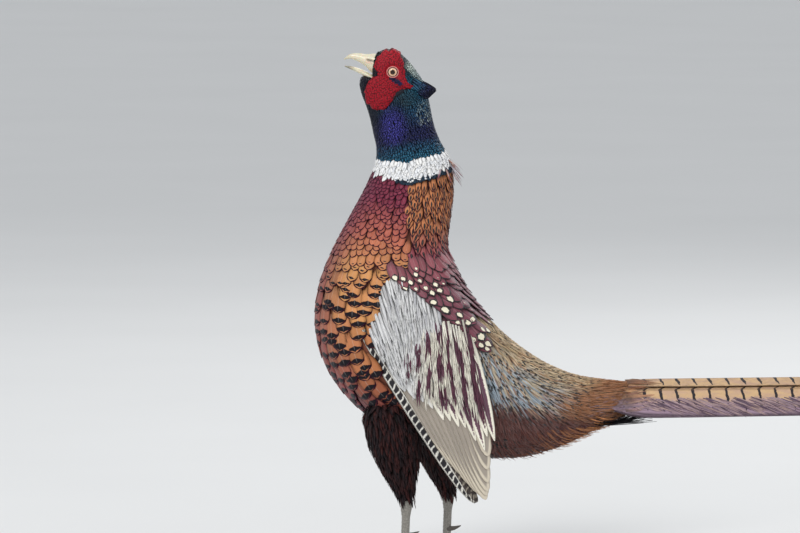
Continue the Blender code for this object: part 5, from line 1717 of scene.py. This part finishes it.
def root_colours(count, buff, pink):
    """Rust to chestnut with some buff, pink at the sides, over the root of the tail."""
    ground = blend(np.tile(RUST, (count, 1)), CHESTNUT, RANDOM.random(count))
    ground = blend(ground, RUMP_BUFF, buff * RANDOM.random(count))
    return blend(ground, TAIL_PINK, pink * RANDOM.random(count) ** 0.5)


def make_plumes():
    """Locks that hang from the rear flank and over the tail's root, and black feathers under the tail."""
    finish = feather_material("plume_finish", 0.6, 0.0, 0.12, Barb_Depth=0.3, Lines=14.0, Slant=7.0,
                              Shaft_Light=0.15, Sheen_Weight=0.15)
    count = 520
    where = 20.9 + 2.9 * RANDOM.random(count)
    degrees = RANDOM.choice((-1, 1), count) * (92 + 48 * RANDOM.random(count))
    share = RANDOM.random(count)
    ground = blend(tile(CHESTNUT, where), FRINGE_ORANGE, ease(where, 20.9, 23.2) * share)
    length = 16 + 9 * RANDOM.random(count)
    lay_plumes("flank_fringe", finish, where, degrees, np.full(count, -58.0), length, 0.9,
               2.5 + 4.0 * share, ground)

    count = 620
    where = 23.9 - 1.2 * RANDOM.random(count) ** 1.5
    degrees = RANDOM.uniform(-100, 100, count)
    angle = np.abs(degrees)
    ground = root_colours(count, 0.5, ease(angle, 58, 72))
    length = np.interp(angle, (0, 100), (17, 30)) * (1 + RANDOM.normal(0, 0.3, count)).clip(0.4, 1.6)
    lay_plumes("tail_root_locks", finish, where, degrees, np.zeros(count), length, 0.8,
               1.2 + 1.2 * RANDOM.random(count), ground)

    coat = Coat()
    count = 190
    x = RANDOM.uniform(186, 201, count)
    side = np.interp(RANDOM.random(count), (0, 0.45, 0.55, 0.75, 1), (-20, -10, -3, 3, 22))
    toward = stray(tile(BACKWARD, x), 0.07)
    colours = paint(vary(root_colours(count, 0.3, ease(np.abs(side), 12, 17)), 0.1))
    length = 8 + 28 * RANDOM.random(count) ** 1.5
    lift = lambda v: -1.0 + (1.4 + RANDOM.random(count))[:, None] * v[None]
    lay(coat, over_tail, x, side, toward, length, 0.9, STRAND_TIP, lift, colours, TAIL_STEPS, TAIL_SPANS,
        rows=8, cup=0.25)
    coat.build("tail_root_fringe", finish, "rump_feathers")

    coat = Coat()
    count = 44
    x, side = RANDOM.uniform(160, 190, count), RANDOM.uniform(-13, 13, count)
    toward = stray(tile(BACKWARD, x), 0.05)
    drop = RANDOM.random(count)
    lift = lambda v: 11.0 * drop[:, None] * v[None]
    lay(coat, under_tail, x, side, toward, RANDOM.uniform(30, 50, count), 2.8, POINTED_TIP, lift,
        paint(tile(INK, x)), TAIL_STEPS, TAIL_SPANS, rows=8)
    dull = feather_material("under_tail_plumage", 0.85, Shaft_Light=0.0, Root_Shade=0.0)
    coat.build("under_tail_coverts", dull, "tail_feathers")


def make_strays():
    """Narrow brown and pink feathers that stick out at the back of the collar."""
    coat = Coat()
    count = 22
    where = 9.0 + 0.9 * RANDOM.random(count)
    degrees = RANDOM.normal(0, 24, count)
    ground = blend(tile(BUFF_ORANGE, where), COLLAR_SHADE, RANDOM.random(count))
    heading = stray(flow(where, degrees), 0.2)
    lift = lambda v: (-1.0 + 13.0 * v**1.4)[None, :] * (0.3 + 0.7 * RANDOM.random(count))[:, None]
    lay(coat, body_shape, where, degrees, heading, np.full(count, 15.0), 1.2, POINTED_TIP, lift,
        paint(ground, MANTLE_PINK, 1.0, PURPLE_EDGE, 0.8), rows=8)
    finish = feather_material("stray_finish", 0.6, 0.0, 0.1, Mark_Place=0.9, Mark_Width=0.8, Barb_Depth=0.25,
                              Lines=12.0)
    return coat.build("collar_strays", finish, "collar_feathers")


HEAD_STEPS = (0.2, 0.2)


def make_eye_streaks():
    """A streak of small blue-black feathers across the bare face under each eye."""
    coat = Coat()

    def face(x, drop):
        """The bare face's outside on the left."""
        share = np.clip(np.hypot(x - WATTLE_CENTRE[0], -drop - WATTLE_CENTRE[1]) / 22.0, 0, 1)
        return at(x, -wattle_out(share, x, -drop), -drop)

    count = 60
    share = RANDOM.random(count)
    x = -25.5 + 11.0 * share + RANDOM.normal(0, 0.4, count)
    z = 470.4 - 4.6 * share + RANDOM.normal(0, 0.9, count)
    toward = stray(tile(BACK_AND_DOWN, x), 0.1)
    colours = paint(blend(tile(INK, x), VIOLET, RANDOM.random(count) * 0.4))
    lay(coat, face, x, -z, toward, np.full(count, 3.0), 0.55, POINTED_TIP, rise(0.1, 1.3), colours,
        HEAD_STEPS, (-60, 10, -500, -430), rows=5, sides=BOTH_SIDES)
    return coat.build("eye_streaks", feather_material("streak_plumage", 0.5, 0.3), "head_feathers")


TUFT_ROOT = (-3.0, 468.0)
TUFT_CORNERS = ((20.5, 458.0), (12.0, 450.0))
TUFT_OUT = 9.5


def make_ear_tufts():
    """The horn-like tuft behind each eye: locks that fan from the ear to the tuft's two corners."""
    coat = Coat()

    def sheet(x, drop):
        """A shallow trough that leaves the head and runs back past it."""
        middle = TUFT_ROOT[1] - 0.5 * (x - TUFT_ROOT[0])
        return at(x, -(TUFT_OUT + 0.1 * (x + 3) - 0.012 * (-drop - middle) ** 2), -drop)

    count = 420
    fan = RANDOM.random(count)
    along = RANDOM.random(count) ** 0.8
    corner = np.array(TUFT_CORNERS[0]) + np.outer(fan, np.subtract(TUFT_CORNERS[1], TUFT_CORNERS[0]))
    start = np.array(TUFT_ROOT) + np.outer(fan - 0.35, (-2.0, -7.0))
    heading = corner - start
    spot = start + heading * (0.72 * along)[:, None]
    left = np.linalg.norm(corner - spot, axis=1)
    length = np.minimum(left, 8.5 + 2.0 * RANDOM.random(count))
    bright = ease(along, 0.55, 0.05) * (0.4 + 0.6 * RANDOM.random(count))
    ground = blend(blend(tile(NAVY, fan), TEAL, bright), INK, 0.8 * ease(along, 0.6, 0.95))
    height = 2.6 * RANDOM.random(count) * ease(along, 1.1, 0.4)
    lift = lambda v: height[:, None] - 0.4 + 0.8 * v[None, :]
    lay(coat, sheet, spot[:, 0], -spot[:, 1], at(heading[:, 0], 0.0, heading[:, 1]), length, 1.2, POINTED_TIP,
        lift, paint(ground, edge=NIGHT, edge_size=1.0), HEAD_STEPS, (-60, 120, -500, -400), thick=0.35,
        sides=BOTH_SIDES)
    finish = feather_material("tuft_plumage", 0.38, 0.5, 0.08, Edge_Width=0.3, Barb_Depth=0.3, Lines=9.0,
                              Slant=5.0)
    return coat.build("ear_tuft_locks", finish, "head_feathers", ("ear_tuft_left", "ear_tuft_right"))


# Legs

ANKLE = 15.0
SPUR_HEIGHT = 36.0
SPUR_LENGTH = 13.0
TOES = (("inner", -26.0, 37.0), ("middle", 2.0, 52.0), ("outer", 32.0, 42.0), ("hind", 196.0, 21.0))
CLAW_LENGTH = {"inner": 10.0, "middle": 12.0, "outer": 10.0, "hind": 8.0}
TOE_RADIUS = 3.9
LEG_GREY = srgb(150, 146, 138)
LEG_DARK = srgb(86, 80, 74)
CLAW_DARK = srgb(58, 50, 46)
CLAW_PALE = srgb(110, 98, 84)
SPUR_RADII = ((0, 0.5, 1), (2.8, 2.0, 0.3))
TARSUS_RADII = ((0, 0.12, 0.3, 0.85, 1.0), (6.3, 5.4, 3.9, 3.8, 4.6))
FOOT_RADII = ((0, 0.45, 1), (4.6, 4.8, 6.0))


def scutes(rings, line, share, number, depth, rise_from, rise_to, toward):
    """Rings with overlapping plates on one side: each plate swells slowly, then steps back in."""
    phase = (share * number) % 1.0
    swell = depth * (phase**1.5 - 0.35 * ease(phase, 0.92, 1.0))
    away = rings - line[:, None]
    shown = ease(away @ np.array(toward), rise_from, rise_to)
    return line[:, None] + away * (1 + swell[:, None] * shown)[..., None]


def leg_material():
    """Grey scales with darker seams between them."""
    made, n, ports = new_material("leg_scales", 0.5, Sheen_Weight=0.1)
    spot = n.node("ShaderNodeTexCoord", port="Object")
    edge = n.step(n.node("ShaderNodeTexVoronoi", {"Vector": spot, "Scale": 900.0}), 0.25, 0.6)
    n.feed(ports["Base Color"], n.mix(edge * 0.5, n.attribute("ground"), LEG_DARK))
    bump(n, ports, 1.0 - edge, 0.12, 0.8)
    return made


def make_legs():
    """Tarsi with plates in front, spurs, jointed toes with plates on top, and hooked claws."""
    scaly = leg_material()
    claw_finish, n, ports = new_material("claw_horn", 0.4, Coat_Weight=0.2)
    n.feed(ports["Base Color"], n.mix(n.noise(500.0, 3.0, (0.4, 1, 1)), CLAW_DARK, CLAW_PALE))
    for side in LEG_X:
        sign = -1.0 if side == "left" else 1.0
        x, y = LEG_X[side], sign * LEG_OUT
        top = np.array([x - 2.0, y, HOCK_HEIGHT])
        foot = np.array([x - 4.0, y, ANKLE])
        share = np.linspace(0, 1, 120)
        middle = top + (foot - top) * share[:, None]
        rings = tube_rings(middle, read(TARSUS_RADII, share), 28)
        shells = Shells().add(scutes(rings, middle, share, 15, 0.09, -0.5, 2.0, (-1, 0, 0)), LEG_GREY)
        base = np.array([x - 3.0, y - sign * 1.5, SPUR_HEIGHT])
        point = base + np.array([SPUR_LENGTH, -sign * 3.5, 3.5])
        line = np.array([base, (base + point) / 2 - np.array([0, 0, 0.8]), point])
        share = np.linspace(0, 1, 16)
        shells.add(tube_rings(along_curve(line, share), read(SPUR_RADII, share), 16), LEG_DARK)
        shells.build("tarsus_scaled_" + side, scaly, "leg_scales", ("tarsus_" + side,))
        make_foot(side, sign, foot, scaly, claw_finish)


def make_foot(side, sign, foot, scaly, claw_finish):
    """A foot: its ball and the shank's end, then four toes that lie on the floor, each with a claw."""
    shells = Shells()
    angle = np.linspace(0.03, np.pi - 0.03, 30)
    ball = at(foot[0] - 1.0, foot[1], 5.2 + 6.4 * np.cos(angle))
    shells.add(on_floor(tube_rings(ball, 7.1 * np.sin(angle), 32)), LEG_GREY)
    share = np.linspace(0, 1, 10)
    shells.add(tube_rings(foot - np.outer(share, (0, 0, 9.5)), read(FOOT_RADII, share), 28), LEG_GREY)
    claws = []
    for name, heading, length in TOES:
        turn = math.radians(heading)
        ahead = np.array([-math.cos(turn), sign * math.sin(turn), 0.0])
        lift = 7.5 if name == "hind" else 4.2
        share = np.linspace(0, 1, 70)
        knobs = 1.0 + 0.10 * np.cos(share * 2 * math.pi * (2 if length < 30 else 3))
        radii = TOE_RADIUS * (1.0 - 0.34 * share) * knobs
        line = np.array([foot[0], foot[1], 0.0]) + ahead * (length * share)[:, None]
        line[:, 2] = radii * 0.86 + (lift - radii[0] * 0.86) * (1 - share) ** 2
        rings = tube_rings(line, radii, 24)
        shells.add(on_floor(scutes(rings, line, share, length / 3.2, 0.1, -0.3, 1.6, UP)), LEG_GREY)
        tip = line[-1] + ahead * 0.2
        end = tip + ahead * CLAW_LENGTH[name]
        end[2] = 0.7
        share = np.linspace(0, 1, 18)
        claw = along_curve(np.array([tip, (tip + end) / 2 + np.array([0, 0, 1.5]), end]), share)
        reach = np.interp(share, (0, 0.5, 1), (radii[-1] * 0.85, radii[-1] * 0.62, 0.3))
        claws.append((name, on_floor(tube_rings(claw, reach, 18))))
    shells.build("foot_scaled_" + side, scaly, "leg_scales", ("foot_" + side,))
    for name, rings in claws:
        Shells().add(rings).build(f"claw_horn_{name}_{side}", claw_finish, "claw_horn",
                                  (f"claw_{name}_{side}",))


def on_floor(rings):
    """Rings with nothing under the floor."""
    return at(rings[..., 0], rings[..., 1], np.maximum(rings[..., 2], 0.0))


# Floor, light and camera

CAMERA_AIM = (-14.25, 0.0, 290.0)
CAMERA_AWAY = 8.0
CAMERA_RISE = math.radians(5.0)
PHOTO_WIDE = 0.760
SENSOR = 36.0
FLOOR_WIDE = 60.0
# Each light: its name, place in metres, power in watts and width.
LIGHTS = (
    ("key", (-1.5, -2.3, 2.6), 56.0, 1.3),
    ("fill", (1.9, -2.0, 1.4), 10.0, 2.0),
    ("back", (0.8, 2.2, 2.0), 22.0, 1.6),
)
LIGHT_AIM = (-0.05, 0.0, 0.28)
SKY = ((0.93, 0.96, 1.0, 1.0), 0.68)
PAPER = ((0.74, 0.74, 0.73, 1.0), (0.78, 0.78, 0.77, 1.0))


def place_at(name, data, place, target):
    """Puts a light or camera in the scene and turns it to look at a target."""
    obj = bpy.data.objects.new(name, data)
    bpy.context.scene.collection.objects.link(obj)
    obj.location = place
    away = np.array(obj.location) - np.array(target)
    flat = math.hypot(away[0], away[1])
    obj.rotation_euler = (math.atan2(flat, away[2]), 0.0, math.atan2(away[0], -away[1]))
    return obj


def make_stage():
    """A paper floor, a soft sky, three lights and the photo's camera."""
    scene = bpy.context.scene
    bpy.ops.mesh.primitive_plane_add(size=FLOOR_WIDE, location=(0.0, 0.0, 0.0))
    floor = bpy.context.object
    floor.name = "floor"
    made, n, ports = new_material("floor_paper", 0.9)
    n.feed(ports["Base Color"], n.mix(n.noise(3.0, 2.0), *PAPER))
    floor.data.materials.append(made)
    scene.world = bpy.data.worlds.new("soft_sky")
    scene.world.use_nodes = True
    shade = scene.world.node_tree.nodes["Background"].inputs
    shade[0].default_value, shade[1].default_value = SKY
    for name, place, watts, wide in LIGHTS:
        light = bpy.data.lights.new(name, "AREA")
        light.energy = watts
        light.size = wide
        place_at(name, light, place, LIGHT_AIM)
    camera = bpy.data.cameras.new("camera")
    camera.sensor_width = SENSOR
    camera.lens = SENSOR * CAMERA_AWAY / PHOTO_WIDE
    camera.clip_end = 80.0
    aim = to_world(np.array(CAMERA_AIM))
    place = aim + CAMERA_AWAY * np.array([0.0, -math.cos(CAMERA_RISE), math.sin(CAMERA_RISE)])
    scene.camera = place_at("camera", camera, place, aim)
    scene.view_settings.view_transform = "Standard"


make_skin()
make_head_coat()
make_collar()
make_breast()
make_mantle()
make_scapulars()
make_rump()
make_belly()
make_thighs()
make_wings()
make_tail()
make_tail_fringe()
make_bill()
make_wattles()
make_eyes()
make_ear_tufts()
make_eye_streaks()
make_plumes()
make_strays()
make_legs()
make_stage()
